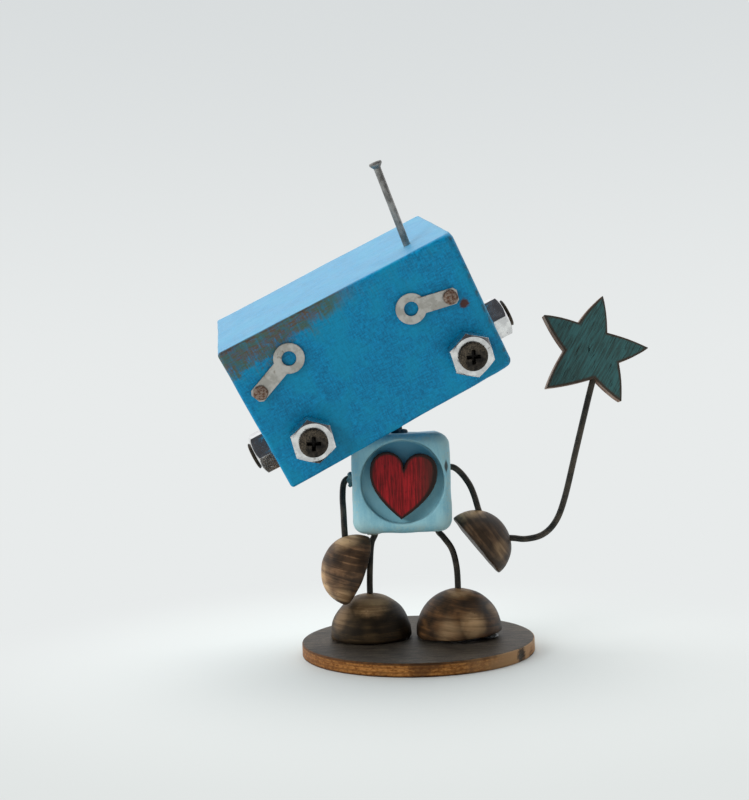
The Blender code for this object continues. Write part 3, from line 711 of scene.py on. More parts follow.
# painted shade: the pocket is painted a little darker than the face, and darker still towards its top, where
# shadow falls into it
pocket_far = pale.distance(spot, pocket_middle - chest_middle)
pocket_shade = (pocket_far.rise(pocket_radius + 0.1 * MM, pocket_radius - 0.5 * MM)
             * deep_in.rise(-12.3 * MM, -11.2 * MM))
paint = pale.mix(pocket_shade * 0.5, paint, (0.200, 0.490, 0.600, 1))
pocket_top_shadow = pocket_shade * tall.rise(-2 * MM, 9 * MM)
paint = pale.mix(pocket_top_shadow * 0.75, paint, (0.030, 0.210, 0.350, 1))
specks = pale.noise(spot, 0.9 * MM, detail=2.0).rise(0.70, 0.76)
paint = pale.mix(specks * 0.45, paint, (0.20, 0.25, 0.23, 1))
split = pale.distance(spot, Vector((11.4, -12.0, 4.1)) * MM)
split_line = (split * 0.4 + pale.math_of("ABSOLUTE", wide - 11.4 * MM)).rise(0.85 * MM, 0.45 * MM)
paint = pale.mix(split_line * 0.9, paint, (0.02, 0.02, 0.02, 1))
pale.feed("Base Color", paint)
pale.feed("Roughness", 0.42 + cloud * 0.2)
pale.bump(grain * 0.4 + fine * 0.6 - split_line, 0.12 * MM, 0.5)
new_piece("chest_block", chest, "figure", "torso_block", pale, sharp=60)

# %% [markdown]
# ## Plates cut from thin board: the heart and the star
#
# Both were cut with a hot blade or a laser, which leaves a dark burnt line round the rim and a brown edge.
# The heart is stained red across a straight upright grain, and the star teal across a slanting one. The
# grain shows through as dark lines. Each plate is grown from its packed outline: the star's tips are
# blunted and its sides bulge a little. Smaller and smaller copies of that line make the rings of the two
# faces, which can be done because every point of both outlines can be seen from the middle. Each point of a
# ring keeps a number that says how near the rim it lies, and the finish reads that number to place the
# burn.

# %% Plates with a burnt margin
def flat_frame(points, way):
    """A frame in the middle of points whose Z is way and whose Y is as upright as it can be."""
    middle = sum(points, Vector()) / len(points)
    upright = (Vector((0, 0, 1)) - way * way.z).normalized()
    made = Matrix((upright.cross(way), upright, way)).transposed().to_4x4()
    made.translation = middle
    return made


def burnt_plate(node, way, bulge, blunt, rim):
    """A bmesh of a plate from its packed outline, with each vertex's nearness to the rim."""
    points = outline(node, way)
    depths = [point.dot(way) for side in flat_sides(node) for point in side[2]]
    thick = max(depths) - min(depths)
    place = flat_frame(points, way)
    flat = [(place.inverted() @ point).to_2d() for point in points]
    if sum(a.x * b.y - a.y * b.x for a, b in zip(flat, flat[1:] + flat[:1])) < 0:
        flat.reverse()
    rim_line = []
    for before, point, after in zip(flat[-1:] + flat[:-1], flat, flat[1:] + flat[:1]):
        is_tip = (blunt and (before - point).angle(after - point) < math.radians(100)
                  and point.length > before.length)
        start = point + (before - point).normalized() * blunt if is_tip else point
        end = point + (after - point).normalized() * blunt if is_tip else point
        for i in range(5 if is_tip else 1):
            share = i / 4
            rim_line.append(start.lerp(point, share).lerp(point.lerp(end, share), share))
        if bulge:
            out = Vector((after.y - point.y, point.x - after.x)).normalized()
            for i in range(1, 6):
                rim_line.append(end.lerp(after, i / 6) + out * bulge * math.sin(math.pi * i / 6))
    count = len(rim_line)
    inner = []
    for i, point in enumerate(rim_line):
        along = rim_line[(i + 1) % count] - rim_line[i - 1]
        inner.append(point + Vector((-along.y, along.x)).normalized() * rim)

    def rim_distance(point):
        """How far a point is from the nearest corner of the rim line."""
        return min((point - other).length for other in rim_line)

    shape = bmesh.new()
    margin = shape.verts.layers.float.new("margin")
    stack = [([point * share for point in inner], -thick) for share in (0.1, 0.5, 0.8)]
    stack += [(inner, -thick), (rim_line, rim - thick), (rim_line, -thick / 2), (rim_line, -rim), (inner, 0)]
    stack += [([point * share for point in inner], 0)
              for share in (0.96, 0.92, 0.86, 0.8, 0.7, 0.55, 0.35, 0.1)]
    rings = []
    for line, level in stack:
        ring = []
        for point in line:
            vert = shape.verts.new(place @ Vector((point.x, point.y, level)))
            vert[margin] = max(0.0, 1 - max(0.0, rim_distance(point) - rim) / BURN_WIDTH)
            ring.append(vert)
        rings.append(ring)
    skin(shape, rings)
    return shape, place


BURN_WIDTH = 1.3 * MM
heart_way = max(flat_sides("heart")[:2], key=lambda side: -side[1].y)[1]
heart_shape, heart_frame = burnt_plate("heart", heart_way, 0, 0, 0.25 * MM)
red = new_finish("red_stain_burnt", roughness=0.6, specular=0.3)
spot = red.spot(heart_frame)
grain = red.noise(spot, 0.38 * MM, stretch=(1, 22, 6), detail=3.0, distortion=0.3)
pores = red.noise(spot, 0.25 * MM, stretch=(1, 7, 6), detail=2.0)
cloud = red.noise(spot, 5 * MM, detail=2.0)
right_dark = red.axis(spot, "X").rise(1.0 * MM, 8.5 * MM)
stain = red.mix((grain * 0.75 + cloud * 0.25).rise(0.40, 0.62),
                (0.150, 0.005, 0.006, 1), (0.430, 0.014, 0.018, 1))
stain = red.mix(pores.rise(0.58, 0.68) * 0.6, stain, (0.045, 0.004, 0.004, 1))
stain = red.mix(right_dark * (0.65 + cloud * 0.5), stain, (0.050, 0.020, 0.014, 1))
margin = red.attribute("margin")
burnt = (margin + cloud * 0.3 + right_dark * 0.25).rise(0.50, 1.0)
stain = red.mix(burnt * 0.95, stain, (0.016, 0.010, 0.007, 1))
red.feed("Base Color", stain)
red.feed("Roughness", 0.5 + grain * 0.25)
red.bump(grain * 0.7 + pores * 0.3, 0.16 * MM, 0.7)
new_piece("heart_plate", heart_shape, "figure", "heart", red)

star_way = max(flat_sides("star")[:2], key=lambda side: -side[1].y)[1]
star_levels = [point.dot(star_way) for side in flat_sides("star") for point in side[2]]
star_thick = max(star_levels) - min(star_levels)
star_shape, star_frame = burnt_plate("star", star_way, 0.30 * MM, 0.6 * MM, 0.20 * MM)
teal = new_finish("teal_stain_burnt", roughness=0.65, specular=0.25)
spot = teal.spot(star_frame @ Matrix.Rotation(math.radians(-32), 4, "Z"))
grain = teal.noise(spot, 0.42 * MM, stretch=(1, 16, 6), detail=3.0, distortion=0.4)
scratch = teal.noise(spot, 0.30 * MM, stretch=(1, 12, 5), detail=1.0)
cloud = teal.noise(spot, 6 * MM, detail=2.0)
stain = teal.mix((grain * 0.7 + cloud * 0.3).rise(0.38, 0.62),
                 (0.042, 0.082, 0.076, 1), (0.058, 0.165, 0.165, 1))
stain = teal.mix(scratch.rise(0.62, 0.70) * 0.75, stain, (0.016, 0.022, 0.018, 1))
margin = teal.attribute("margin")
burnt = (margin + cloud * 0.5 - 0.2).rise(0.35, 0.95)
stain = teal.mix(burnt * 0.85, stain, (0.060, 0.030, 0.016, 1))
behind = teal.axis(spot, "Z")
side_wood = teal.mix(cloud.rise(0.4, 0.6), (0.170, 0.085, 0.050, 1), (0.340, 0.230, 0.170, 1))
sawn = behind.rise(-0.25 * MM, -0.7 * MM) * behind.rise(-star_thick + 0.15 * MM, -star_thick + 0.5 * MM)
stain = teal.mix(sawn, stain, side_wood)
teal.feed("Base Color", stain)
teal.feed("Roughness", 0.55 + grain * 0.25)
teal.bump(grain * 0.7 - scratch.rise(0.62, 0.70) * 0.3, 0.15 * MM, 0.7)
new_piece("star_plate", star_shape, "figure", "star", teal)

# %% [markdown]
# ## Split wooden balls
#
# Each hand and foot is half of a turned wooden ball, scorched with a flame until it was brown and nearly
# black in places, then waxed. The flame misses some spots, which stay the colour of honey. A turned ball
# shows the grain as bands, wide apart at its middle. The shape is spun again from its packed flat side: a
# rounded rim, then a dome.

# %% Hands and feet
def bead_shape(node):
    """The frame of a split ball, on its flat side and with Z up its dome, and its radius and height."""
    area, normal, points = flat_sides(node)[0]
    unique = {tuple(round(v, 6) for v in point): point for point in points}.values()
    middle = sum(unique, Vector()) / len(unique)
    every = [vert for side in flat_sides(node) for vert in side[2]]
    tall = max((middle - point).dot(normal) for point in every)
    wide = max(((point - middle) - normal * (point - middle).dot(normal)).length for point in every)
    turn = (-normal).to_track_quat("Z", "Y").to_matrix().to_4x4()
    return Matrix.Translation(middle) @ turn, wide, tall


def spun(profile, steps, place):
    """Spin a profile of (radius, height) about the Z of place, merging its ends on the axis."""
    shape = bmesh.new()
    verts = [shape.verts.new((radius, 0, height)) for radius, height in profile]
    edges = [shape.edges.new(pair) for pair in zip(verts, verts[1:])]
    bmesh.ops.spin(shape, geom=verts + edges, axis=(0, 0, 1), cent=(0, 0, 0), dvec=(0, 0, 0),
                   angle=math.tau, steps=steps, use_merge=True)
    bmesh.ops.remove_doubles(shape, verts=shape.verts[:], dist=0.003 * MM)
    bmesh.ops.recalc_face_normals(shape, faces=shape.faces[:])
    bmesh.ops.transform(shape, matrix=place, verts=shape.verts[:])
    return shape


def bead(node, grain_way, pale_spots, dark, warm, seed):
    """A split ball: pale_spots are (place, reach, share of paleness) in the frame of the row, in mm."""
    place, wide, tall = bead_shape(node)
    rim = 0.35 * MM
    profile = [(0, 0), (wide * 0.5, 0), (wide - rim * 1.6, 0), (wide - rim, 0.02 * MM),
               (wide - 0.3 * rim, 0.3 * rim), (wide, rim)]
    rings = 18
    for i in range(1, rings + 1):
        angle = math.tau / 4 * i / rings
        profile.append((wide * math.cos(angle), rim + (tall - rim) * math.sin(angle)))
    profile[-1] = (0, tall)
    shape = spun(profile, 64, place)
    roughen(shape, 4 * MM, 0.16 * MM, seed=seed)
    finish = new_finish(node + "_wood", roughness=0.5, specular=0.24)
    spot = finish.spot()
    along = facing_frame(grain_way)
    wood = finish.spot(along)
    bands = finish.noise(wood, 1.5 * MM, stretch=(12, 12, 1), detail=4.0, roughness=0.6, distortion=0.6)
    fine = finish.noise(wood, 0.3 * MM, stretch=(22, 22, 1), detail=2.0)
    cloud = finish.noise(spot, 4 * MM, detail=3.0)
    pale = finish.value(0.0)
    for point, reach, share in pale_spots:
        near = finish.distance(spot, Vector(point) * MM) + (cloud - 0.5) * (reach * 0.9 * MM)
        pale = pale.at_least(near.rise(reach * MM, reach * 0.25 * MM) * share)
    lightness = ((bands.rise(0.42, 0.60) * 0.7 + 0.3)
                 * (cloud.rise(0.30, 0.70) * 0.8 + fine.rise(0.35, 0.65) * 0.2))
    colour = finish.mix(lightness, dark, warm)
    honey = finish.mix(bands.rise(0.38, 0.58), (0.310, 0.180, 0.085, 1), (0.600, 0.390, 0.200, 1))
    colour = finish.mix(pale, colour, honey)
    crack = finish.noise(spot, 0.7 * MM, stretch=(1, 1, 1), detail=1.0).rise(0.72, 0.77)
    colour = finish.mix(crack * 0.6, colour, (0.010, 0.007, 0.005, 1))
    finish.feed("Base Color", colour)
    finish.feed("Roughness", 0.42 + cloud * 0.2)
    finish.bump(bands * 0.5 + fine * 0.3 + cloud * 0.2 - crack * 0.5, 0.12 * MM, 0.6)
    new_piece(node + "_ball", shape, "figure", node, finish, sharp=60)
    return place, wide, tall


def facing_frame(way):
    """A frame on the origin whose Z is way."""
    return Vector(way).to_track_quat("Z", "Y").to_matrix().to_4x4()


DARK_SCORCH = (0.016, 0.011, 0.007, 1)
WARM_SCORCH = (0.170, 0.084, 0.034, 1)
bead("foot_left", (0, 0, 1), [((-11.5, -2, 15.5), 8.0, 1.0), ((-20, -3, 10), 5.0, 0.3)],
     (0.010, 0.007, 0.004, 1), (0.072, 0.045, 0.020, 1), 1.0)
bead("foot_right", (0.15, 0, 1),
     [((13.4, -9, 8.0), 4.5, 0.8), ((8, -9, 6.5), 4.5, 0.45), ((11.5, -2, 15.0), 5.0, 0.8),
      ((19, -4, 10), 3.0, 0.35)],
     DARK_SCORCH, WARM_SCORCH, 4.0)
bead("hand_left", (0.25, 0, 1),
     [((-24, -6, 18.5), 7.0, 0.95), ((-18, -7, 30.5), 5.5, 0.9), ((-20, -12, 16), 4.0, 0.6)],
     (0.020, 0.012, 0.007, 1), (0.235, 0.128, 0.064, 1), 7.0)
bead("hand_right", (0.8, 0, 0.6), [((14.5, 1, 35.5), 5.5, 0.85), ((22, -5, 26), 4.0, 0.40)],
     DARK_SCORCH, (0.130, 0.076, 0.042, 1), 9.0)

# %% [markdown]
# ## The base
#
# The base is a disc cut from thin plywood. Its top is stained dark brown. Its edge was left bare, so the
# honey colour of the wood and the thin darker glue lines of the plies show there, with scorch marks from
# the saw and one burnt notch at the right. It is spun with small rounds at both rims, and the notch is
# pressed into it.

# %% The base disc
low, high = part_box("base_disc")
base_radius = (high.x - low.x) / 2
thick = high.z - low.z
rim = 0.22 * MM
profile = [(0, 0), (base_radius * 0.5, 0), (base_radius - rim, 0), (base_radius - 0.3 * rim, 0.3 * rim),
           (base_radius, rim)]
profile += [(base_radius, rim + (thick - 2 * rim) * i / 6) for i in range(1, 6)]
profile += [(base_radius, thick - rim), (base_radius - 0.3 * rim, thick - 0.3 * rim),
            (base_radius - rim, thick)]
profile += [(base_radius * share, thick) for share in (0.96, 0.9, 0.8, 0.65, 0.45, 0.2)] + [(0, thick)]
NOTCH_WAY = Vector((24.9, -17.3, 0)).normalized()
notch_place = NOTCH_WAY * base_radius
base_shape = spun(profile, 180, Matrix.Identity(4))
for vert in base_shape.verts:
    reach = (vert.co - notch_place - Vector((0, 0, thick * 0.35))).length
    vert.co -= NOTCH_WAY * 0.45 * MM * ease(-reach, -1.3 * MM, -0.2 * MM)
roughen(base_shape, 7 * MM, 0.05 * MM)

board = new_finish("stained_plywood", roughness=0.6, specular=0.16)
spot = board.spot()
radius = board.distance(board.node("ShaderNodeVectorMath", {"operation": "MULTIPLY"},
                                   {0: spot, 1: (1, 1, 0)}), Vector((0, 0, 0)))
height = board.axis(spot, "Z")
grain = board.noise(spot, 0.55 * MM, stretch=(14, 1, 1), detail=4.0, distortion=0.4)
pores = board.noise(spot, 0.3 * MM, stretch=(9, 1, 1), detail=2.0)
cloud = board.noise(spot, 9 * MM, detail=3.0)
top = board.mix((grain * 0.75 + cloud * 0.25).rise(0.42, 0.58),
                (0.020, 0.016, 0.011, 1), (0.100, 0.080, 0.058, 1))
top = board.mix(pores.rise(0.54, 0.62) * 0.8, top, (0.014, 0.010, 0.008, 1))
speckle = board.noise(spot, 0.55 * MM, detail=2.0).rise(0.52, 0.62)
top = board.mix(speckle * 0.55, top, (0.022, 0.017, 0.013, 1))
streaks = board.noise(spot, 1.0 * MM, stretch=(1, 1, 0.5), detail=4.0, roughness=0.65)
edge = board.mix(streaks.rise(0.36, 0.62), (0.170, 0.058, 0.010, 1), (0.440, 0.190, 0.048, 1))
edge = board.mix(cloud.rise(0.52, 0.66) * 0.7, edge, (0.075, 0.030, 0.010, 1))
ply = board.math_of("ABSOLUTE", height - 1.1 * MM).rise(0.30 * MM, 0.12 * MM)
ply = ply.at_least(board.math_of("ABSOLUTE", height - 2.2 * MM).rise(0.28 * MM, 0.10 * MM))
edge = board.mix(ply * streaks.rise(0.3, 0.6) * 0.45, edge, (0.050, 0.020, 0.008, 1))
rims = (height + streaks * 0.4 * MM).rise(2.75 * MM, 3.15 * MM)
rims = rims.at_least((height - streaks * 0.4 * MM).rise(0.40 * MM, 0.0))
edge = board.mix(rims * 0.8, edge, (0.026, 0.013, 0.007, 1))
paler = board.axis(spot, "X").rise(6 * MM, 24 * MM) * cloud.rise(0.35, 0.60)
browner = board.axis(spot, "X").rise(-8 * MM, -26 * MM)
edge = board.mix(browner * 0.40, edge, (0.110, 0.042, 0.012, 1))
edge = board.mix(paler * 0.9, edge, (0.470, 0.270, 0.125, 1))
scorch = (board.distance(spot, notch_place + Vector((0, 0, thick / 2))) + (streaks - 0.5) * 3 * MM)
scorched = scorch.rise(2.6 * MM, 1.2 * MM)
edge = board.mix(scorched * 0.9, edge, (0.012, 0.008, 0.006, 1))
on_edge = (radius + (streaks - 0.5) * 0.25 * MM).rise(base_radius - 0.30 * MM, base_radius - 0.08 * MM)
board.feed("Base Color", board.mix(on_edge, top, edge))
board.feed("Roughness", 0.42 + grain * 0.25)
board.bump(grain * 0.6 + pores * 0.3 + streaks * 0.3, 0.12 * MM, 0.6)
new_piece("base_board", base_shape, "figure", "base_disc", board, sharp=60)

# %% [markdown]
# ## Iron wire
#
# The limbs are soft annealed wire, black from the furnace and dulled brown where it was handled. It was
# bent by hand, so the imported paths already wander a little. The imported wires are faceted, and a copy of
# each is made round with a subdivision surface.

# %% Wires
def wire_finish(name, colour, dull):
    """Dark metal, mottled between two colours."""
    finish = new_finish(name, roughness=0.5, metallic=0.6, specular=0.4)
    spot = finish.spot()
    fine = finish.noise(spot, 0.25 * MM, detail=3.0)
    cloud = finish.noise(spot, 3 * MM, detail=3.0)
    finish.feed("Base Color", finish.mix((cloud * 0.6 + fine * 0.4).rise(0.40, 0.62), colour, dull))
    finish.feed("Roughness", 0.38 + fine * 0.3)
    finish.bump(fine, 0.05 * MM, 0.6)
    return finish


iron = wire_finish("annealed_iron", (0.030, 0.030, 0.027, 1), (0.095, 0.080, 0.062, 1))
for node in ("leg_wire_left", "leg_wire_right", "arm_wire_left", "arm_wire_right", "wand_wire", "neck_wire"):
    shape = cad_shape(node)
    bmesh.ops.join_triangles(shape, faces=shape.faces[:], angle_face_threshold=0.3, angle_shape_threshold=0.9)
    shape.normal_update()
    for vert, way in [(vert, vert.normal.copy()) for vert in shape.verts]:
        vert.co += way * 0.05 * MM
    made = new_piece(node + "_round", shape, "figure", node, iron, sharp=80)
    rounder = made.modifiers.new("round", "SUBSURF")
    rounder.levels = 2
    rounder.render_levels = 2

# %% [markdown]
# ## Hexagon nuts
#
# The eyes and ears are plated nuts, a little under 10 mm across the flats. Their corners are turned off by
# a cone of thirty degrees, which draws the arcs seen at each corner. The same can be done here: a round nut
# with coned faces is spun, and every point that stands outside the hexagon is drawn in to its wall.

# %% Nuts
steel = new_finish("bright_plating", roughness=0.2, metallic=1.0)
spot = steel.spot()
smudge = steel.noise(spot, 2.2 * MM, detail=3.0)
fine = steel.noise(spot, 0.30 * MM, detail=3.0)
spots = steel.noise(spot, 0.8 * MM, detail=2.0).rise(0.64, 0.74)
plating = steel.mix(smudge.rise(0.40, 0.65), (0.60, 0.60, 0.60, 1), (0.80, 0.80, 0.79, 1))
plating = steel.mix(spots * 0.5, plating, (0.22, 0.19, 0.16, 1))
steel.feed("Base Color", plating)
steel.feed("Roughness", 0.16 + smudge * 0.14 + spots * 0.3)
steel.bump(fine * 0.7 + smudge * 0.3, 0.05 * MM, 0.4)

FACE_WAYS = {"eye_nut_left": front_way, "eye_nut_right": front_way,
             "ear_nut_left": -right_way, "ear_nut_right": right_way}
for node, way in FACE_WAYS.items():
    low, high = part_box(node)
    middle = (low + high) / 2
    corners = [point - middle for side in flat_sides(node) for point in side[2]]
    half_thick = max(corner.dot(way) for corner in corners)
    radial = [corner - way * corner.dot(way) for corner in corners]
    farthest = max(radial, key=lambda corner: corner.length)
    bore = min(corner.length for corner in radial)
    mouth = min(spoke.length for spoke, corner in zip(radial, corners)
                if corner.dot(way) > half_thick - 0.01 * MM)
    tip = farthest.length
    flat = tip * math.cos(math.radians(30))
    turned_to = flat * 0.955
    place = Matrix((farthest.normalized(), way.cross(farthest).normalized(), way)).transposed().to_4x4()
    place.translation = middle
    cone = [(turned_to + (tip - turned_to) * i / 8) for i in range(9)]
    fall = math.tan(math.radians(30))
    upper = [(radius, half_thick - (radius - turned_to) * fall) for radius in cone]
    profile = [(bore, (mouth - bore) - half_thick), (mouth, -half_thick)]
    profile += [(radius, -level) for radius, level in upper]
    profile += list(reversed(upper))
    profile += [(mouth, half_thick), (bore, half_thick - (mouth - bore))]
    shape = bmesh.new()
    verts = [shape.verts.new((radius, 0, level)) for radius, level in profile]
    edges = [shape.edges.new(pair) for pair in zip(verts, verts[1:] + verts[:1])]
    bmesh.ops.spin(shape, geom=verts + edges, axis=(0, 0, 1), cent=(0, 0, 0), dvec=(0, 0, 0),
                   angle=math.tau, steps=96, use_merge=True)
    for vert in shape.verts:
        radius = vert.co.to_2d().length
        bearing = math.degrees(math.atan2(vert.co.y, vert.co.x)) % 60 - 30
        wall = flat / math.cos(math.radians(bearing))
        if radius > wall:
            vert.co.x *= wall / radius
            vert.co.y *= wall / radius
    bmesh.ops.remove_doubles(shape, verts=shape.verts[:], dist=0.002 * MM)
    bmesh.ops.dissolve_limit(shape, angle_limit=math.radians(1), verts=shape.verts[:], edges=shape.edges[:])
    bmesh.ops.transform(shape, matrix=place, verts=shape.verts[:])
    made = new_piece(node + "_plated", shape, "head", node, steel, sharp=22)
    soft = made.modifiers.new("soft_edges", "BEVEL")
    soft.width = 0.26 * MM
    soft.segments = 3
    soft.limit_method = "ANGLE"
    soft.angle_limit = math.radians(22)
print("nut in mm:", round(2 * flat / MM, 2), "bore", round(2 * bore / MM, 2))

# %% [markdown]
# ## Screws, lugs, tacks and the nail
#
# The screws are countersunk, blackened, and worn to dull bronze on the rim and round the cross recess. The
# lugs are stamped from tinned sheet, dull and scratched. The tacks hold them by low, hammered heads with a
# bloom of rust. The nail has a bright shank, a few grip rings under its head, and a head dished by a
# hammer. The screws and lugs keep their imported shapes, with their edges softened, and the others are spun.

# %% Copies with soft edges
def softened(node, body, finish, width, segments=2, angle=30):
    """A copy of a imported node, with its triangles joined and its sharp edges rounded."""
    shape = cad_shape(node)
    bmesh.ops.dissolve_limit(shape, angle_limit=math.radians(1.0), verts=shape.verts[:], edges=shape.edges[:])
    made = new_piece(node + "_soft", shape, body, node, finish, sharp=angle)
    soft = made.modifiers.new("soft_edges", "BEVEL")
    soft.width = width
    soft.segments = segments
    soft.limit_method = "ANGLE"
    soft.angle_limit = math.radians(angle)
    return made


for node, way in (("eye_screw_left", front_way), ("eye_screw_right", front_way),
                  ("ear_screw_left", -right_way), ("ear_screw_right", right_way)):
    corners = [point for side in flat_sides(node) for point in side[2]]
    crown = max(corner.dot(way) for corner in corners)
    low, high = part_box(node)
    middle = (low + high) / 2
    face = middle + way * (crown - middle.dot(way))
    place = way.to_track_quat("Z", "Y").to_matrix().to_4x4()
    place.translation = face
    bronze = new_finish(node + "_bronze", roughness=0.4, metallic=0.85)
    spot = bronze.spot(place)
    flat_spot = bronze.node("ShaderNodeVectorMath", {"operation": "MULTIPLY"}, {0: spot, 1: (1, 1, 0)})
    far = bronze.distance(flat_spot, Vector((0, 0, 0)))
    depth = bronze.axis(spot, "Z")
    fine = bronze.noise(spot, 0.35 * MM, detail=4.0, roughness=0.65)
    cloud = bronze.noise(spot, 1.6 * MM, detail=2.0)
    colour = bronze.mix(cloud.rise(0.38, 0.62), (0.020, 0.018, 0.016, 1), (0.060, 0.050, 0.040, 1))
    rubbed = (far.rise(2.2 * MM, 3.3 * MM) * fine.rise(0.42, 0.60)).at_least(fine.rise(0.60, 0.70) * 0.8)
    colour = bronze.mix(rubbed * 0.55, colour, (0.210, 0.165, 0.115, 1))
    # the inside of the cross recess is painted near black: the screw's own blackening deepened with painted
    # shade, with dark marks round the cross
    worn_cross = far.rise(2.0 * MM, 1.0 * MM) * fine.rise(0.35, 0.55) * 0.7
    recess_black_and_shade = (depth.rise(-0.10 * MM, -0.40 * MM) * far.rise(2.6 * MM, 2.3 * MM)).at_least(worn_cross)
    colour = bronze.mix(recess_black_and_shade * 0.9, colour, (0.006, 0.005, 0.005, 1))
    bronze.feed("Base Color", colour)
    bronze.feed("Roughness", 0.34 + fine * 0.30)
    bronze.bump(fine, 0.10 * MM, 0.8)
    softened(node, "head", bronze, 0.09 * MM)

tin = new_finish("tinned_sheet", roughness=0.36, metallic=0.9)
spot = tin.spot(head_frame)
smudge = tin.noise(spot, 1.8 * MM, detail=3.0)
fine = tin.noise(spot, 0.22 * MM, stretch=(1, 1, 5), detail=3.0)
stains = tin.noise(spot, 1.1 * MM, detail=3.0).rise(0.60, 0.70)
colour = tin.mix(smudge.rise(0.38, 0.64), (0.40, 0.385, 0.350, 1), (0.56, 0.545, 0.510, 1))
colour = tin.mix(stains * 0.5, colour, (0.22, 0.17, 0.12, 1))
tin.feed("Base Color", colour)
tin.feed("Roughness", 0.36 + smudge * 0.18 + stains * 0.15)
tin.bump(fine * 0.6 + smudge * 0.4, 0.05 * MM, 0.6)
for side_name in ("left", "right"):
    softened("brow_" + side_name, "brow_lug_" + side_name, tin, 0.10 * MM)

# %% Tacks and the nail
rust = new_finish("rusty_tack_head", roughness=0.55, metallic=0.6)
spot = rust.spot(head_frame)
cloud = rust.noise(spot, 0.7 * MM, detail=4.0, roughness=0.65)
fine = rust.noise(spot, 0.25 * MM, detail=3.0)
colour = rust.mix(cloud.rise(0.40, 0.60), (0.130, 0.060, 0.035, 1), (0.330, 0.255, 0.205, 1))
colour = rust.mix(fine.rise(0.60, 0.72) * 0.7, colour, (0.04, 0.018, 0.010, 1))
rust.feed("Base Color", colour)
rust.feed("Roughness", 0.42 + fine * 0.35)
rust.bump(cloud * 0.5 + fine * 0.5, 0.12 * MM, 0.8)


def round_of(node, way):
    """A round pin's own frame, on its highest point and with Z out of the wood, and its corners there."""
    corners = [point for side in flat_sides(node) for point in side[2]]
    low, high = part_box(node)
    crown = max(corner.dot(way) for corner in corners)
    top = [corner for corner in corners if corner.dot(way) > crown - 0.35 * MM]
    middle = sum(top, Vector()) / len(top)
    place = way.to_track_quat("Z", "Y").to_matrix().to_4x4()
    place.translation = middle + way * (crown - middle.dot(way))
    return place, [place.inverted() @ corner for corner in corners]


for side_name in ("left", "right"):
    node = "brow_tack_" + side_name
    place, corners = round_of(node, front_way)
    head_radius = max(corner.to_2d().length for corner in corners)
    tip_depth = -min(corner.z for corner in corners)
    under = 0.60 * MM
    profile = [(0, -tip_depth), (0.6 * MM, 1.2 * MM - tip_depth), (0.6 * MM, -under),
               (head_radius * 0.93, -under), (head_radius, 0.12 * MM - under),
               (head_radius * 0.97, 0.27 * MM - under)]
    profile += [(head_radius * share, -under * share ** 3 * 0.6)
                for share in (0.9, 0.75, 0.6, 0.45, 0.3, 0.15)]
    profile += [(0, 0)]
    shape = spun(profile, 40, place)
    roughen(shape, 1.1 * MM, 0.12 * MM, seed=3.0)
    new_piece(node + "_domed", shape, "head", node, rust, sharp=60)

nail_finish = wire_finish("nail_steel_dull", (0.17, 0.165, 0.155, 1), (0.42, 0.41, 0.39, 1))
nail_finish.feed("Metallic", 0.95)
nail_corners = [point for side in flat_sides("antenna_nail") for point in side[2]]
nail_way = top_way
for attempt in range(4):
    ends = sorted(nail_corners, key=lambda corner: corner.dot(nail_way))
    foot_point = sum(ends[:8], Vector()) / 8
    top_points = ends[-24:]
    nail_way = (sum(top_points, Vector()) / len(top_points) - foot_point).normalized()
place, corners = round_of("antenna_nail", nail_way)
head_radius = max(corner.to_2d().length for corner in corners)
length = -min(corner.z for corner in corners)
shank = 0.875 * MM
profile = [(0, -length), (shank, 1.7 * MM - length), (shank, -3.4 * MM)]
for i in range(4):
    level = -3.3 * MM + i * 0.45 * MM
    profile += [(shank * 0.96, level), (shank * 1.05, level + 0.22 * MM)]
profile += [(shank, -1.45 * MM), (head_radius * 0.9, -0.75 * MM), (head_radius, -0.55 * MM),
            (head_radius, -0.15 * MM), (head_radius * 0.92, 0.0), (head_radius * 0.6, -0.12 * MM),
            (0, -0.35 * MM)]
shape = spun(profile, 32, place)
new_piece("antenna_nail_round", shape, "head", "antenna_nail", nail_finish, sharp=40)

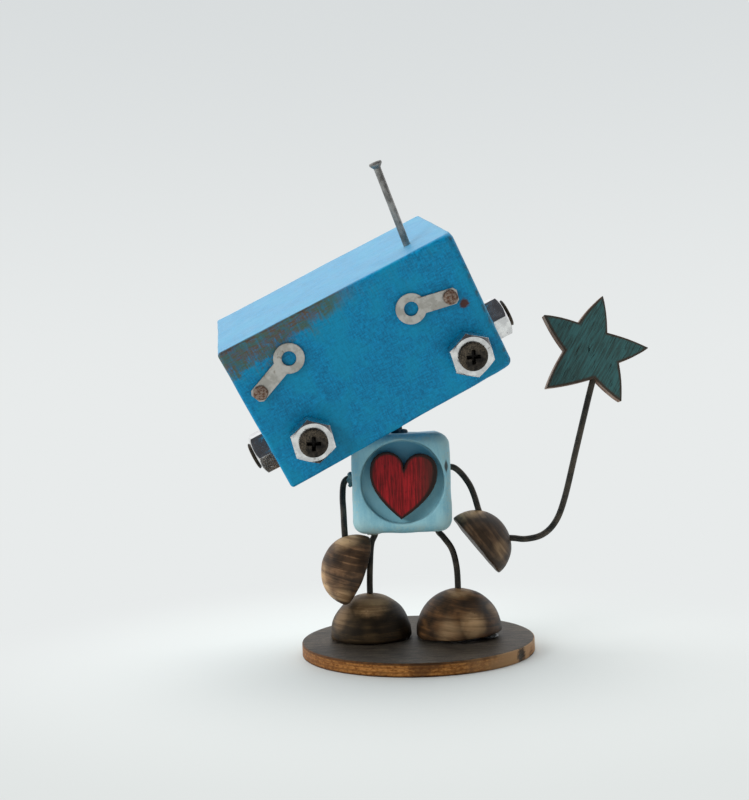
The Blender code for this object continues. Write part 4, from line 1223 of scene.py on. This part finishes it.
# %% [markdown]
# ## Glue and putty
#
# The wires are set in their holes with glue, and where the holes were drilled too wide they were stopped
# with a little putty, painted over. It stands as a dark cone round the neck, a pale green lump at the left
# hip, a crumbly bluish bit at the left shoulder and a small pale one at the right hip. A little clear glue
# has dried grey under the raised side of the right foot. These are small balls, stretched and made lumpy.

# %% Glue and putty
def lump(name, middle, sizes, colour, lumpy, seed, roughness=0.6):
    """A lumpy ball with its middle and half sizes in mm."""
    shape = bmesh.new()
    bmesh.ops.create_icosphere(shape, subdivisions=4, radius=1.0)
    bmesh.ops.transform(shape, matrix=Matrix.Diagonal((*[size * MM for size in sizes], 1)),
                        verts=shape.verts[:])
    bmesh.ops.translate(shape, vec=Vector(middle) * MM, verts=shape.verts[:])
    roughen(shape, min(sizes) * 1.1 * MM, min(sizes) * lumpy * MM, seed=seed)
    roughen(shape, min(sizes) * 0.4 * MM, min(sizes) * lumpy * 0.3 * MM, seed=seed + 3)
    finish = new_finish(name + "_paste", roughness=roughness, specular=0.4)
    spot = finish.spot()
    fine = finish.noise(spot, 0.3 * MM, detail=4.0)
    darker = tuple(value * 0.55 for value in colour[:3]) + (1.0,)
    finish.feed("Base Color", finish.mix(fine.rise(0.38, 0.60), darker, colour))
    finish.bump(fine, 0.15 * MM, 0.7)
    new_piece(name, shape, "figure", None, finish, sharp=80)


neck_spot = chest_middle / MM + Vector((0, 0, chest_half / MM))
lump("neck_putty", neck_spot + Vector((0.1, 0, 0.15)), (2.0, 1.9, 1.35), (0.045, 0.085, 0.105, 1), 0.5, 1.0)
lump("left_hip_putty", (-10.6, 3.6, 30.9), (2.3, 2.0, 1.25), (0.33, 0.40, 0.35, 1), 0.5, 2.0)
lump("right_hip_putty", (5.9, 3.8, 31.0), (1.5, 1.4, 0.75), (0.33, 0.40, 0.36, 1), 0.5, 3.0)
lump("left_shoulder_putty", (-16.0, 3.6, 44.6), (1.0, 1.7, 2.0), (0.11, 0.22, 0.24, 1), 0.9, 4.0)
lump("right_foot_glue", (18.2, -2.4, 3.7), (2.4, 3.4, 0.55), (0.34, 0.36, 0.36, 1), 0.5, 5.0, roughness=0.25)
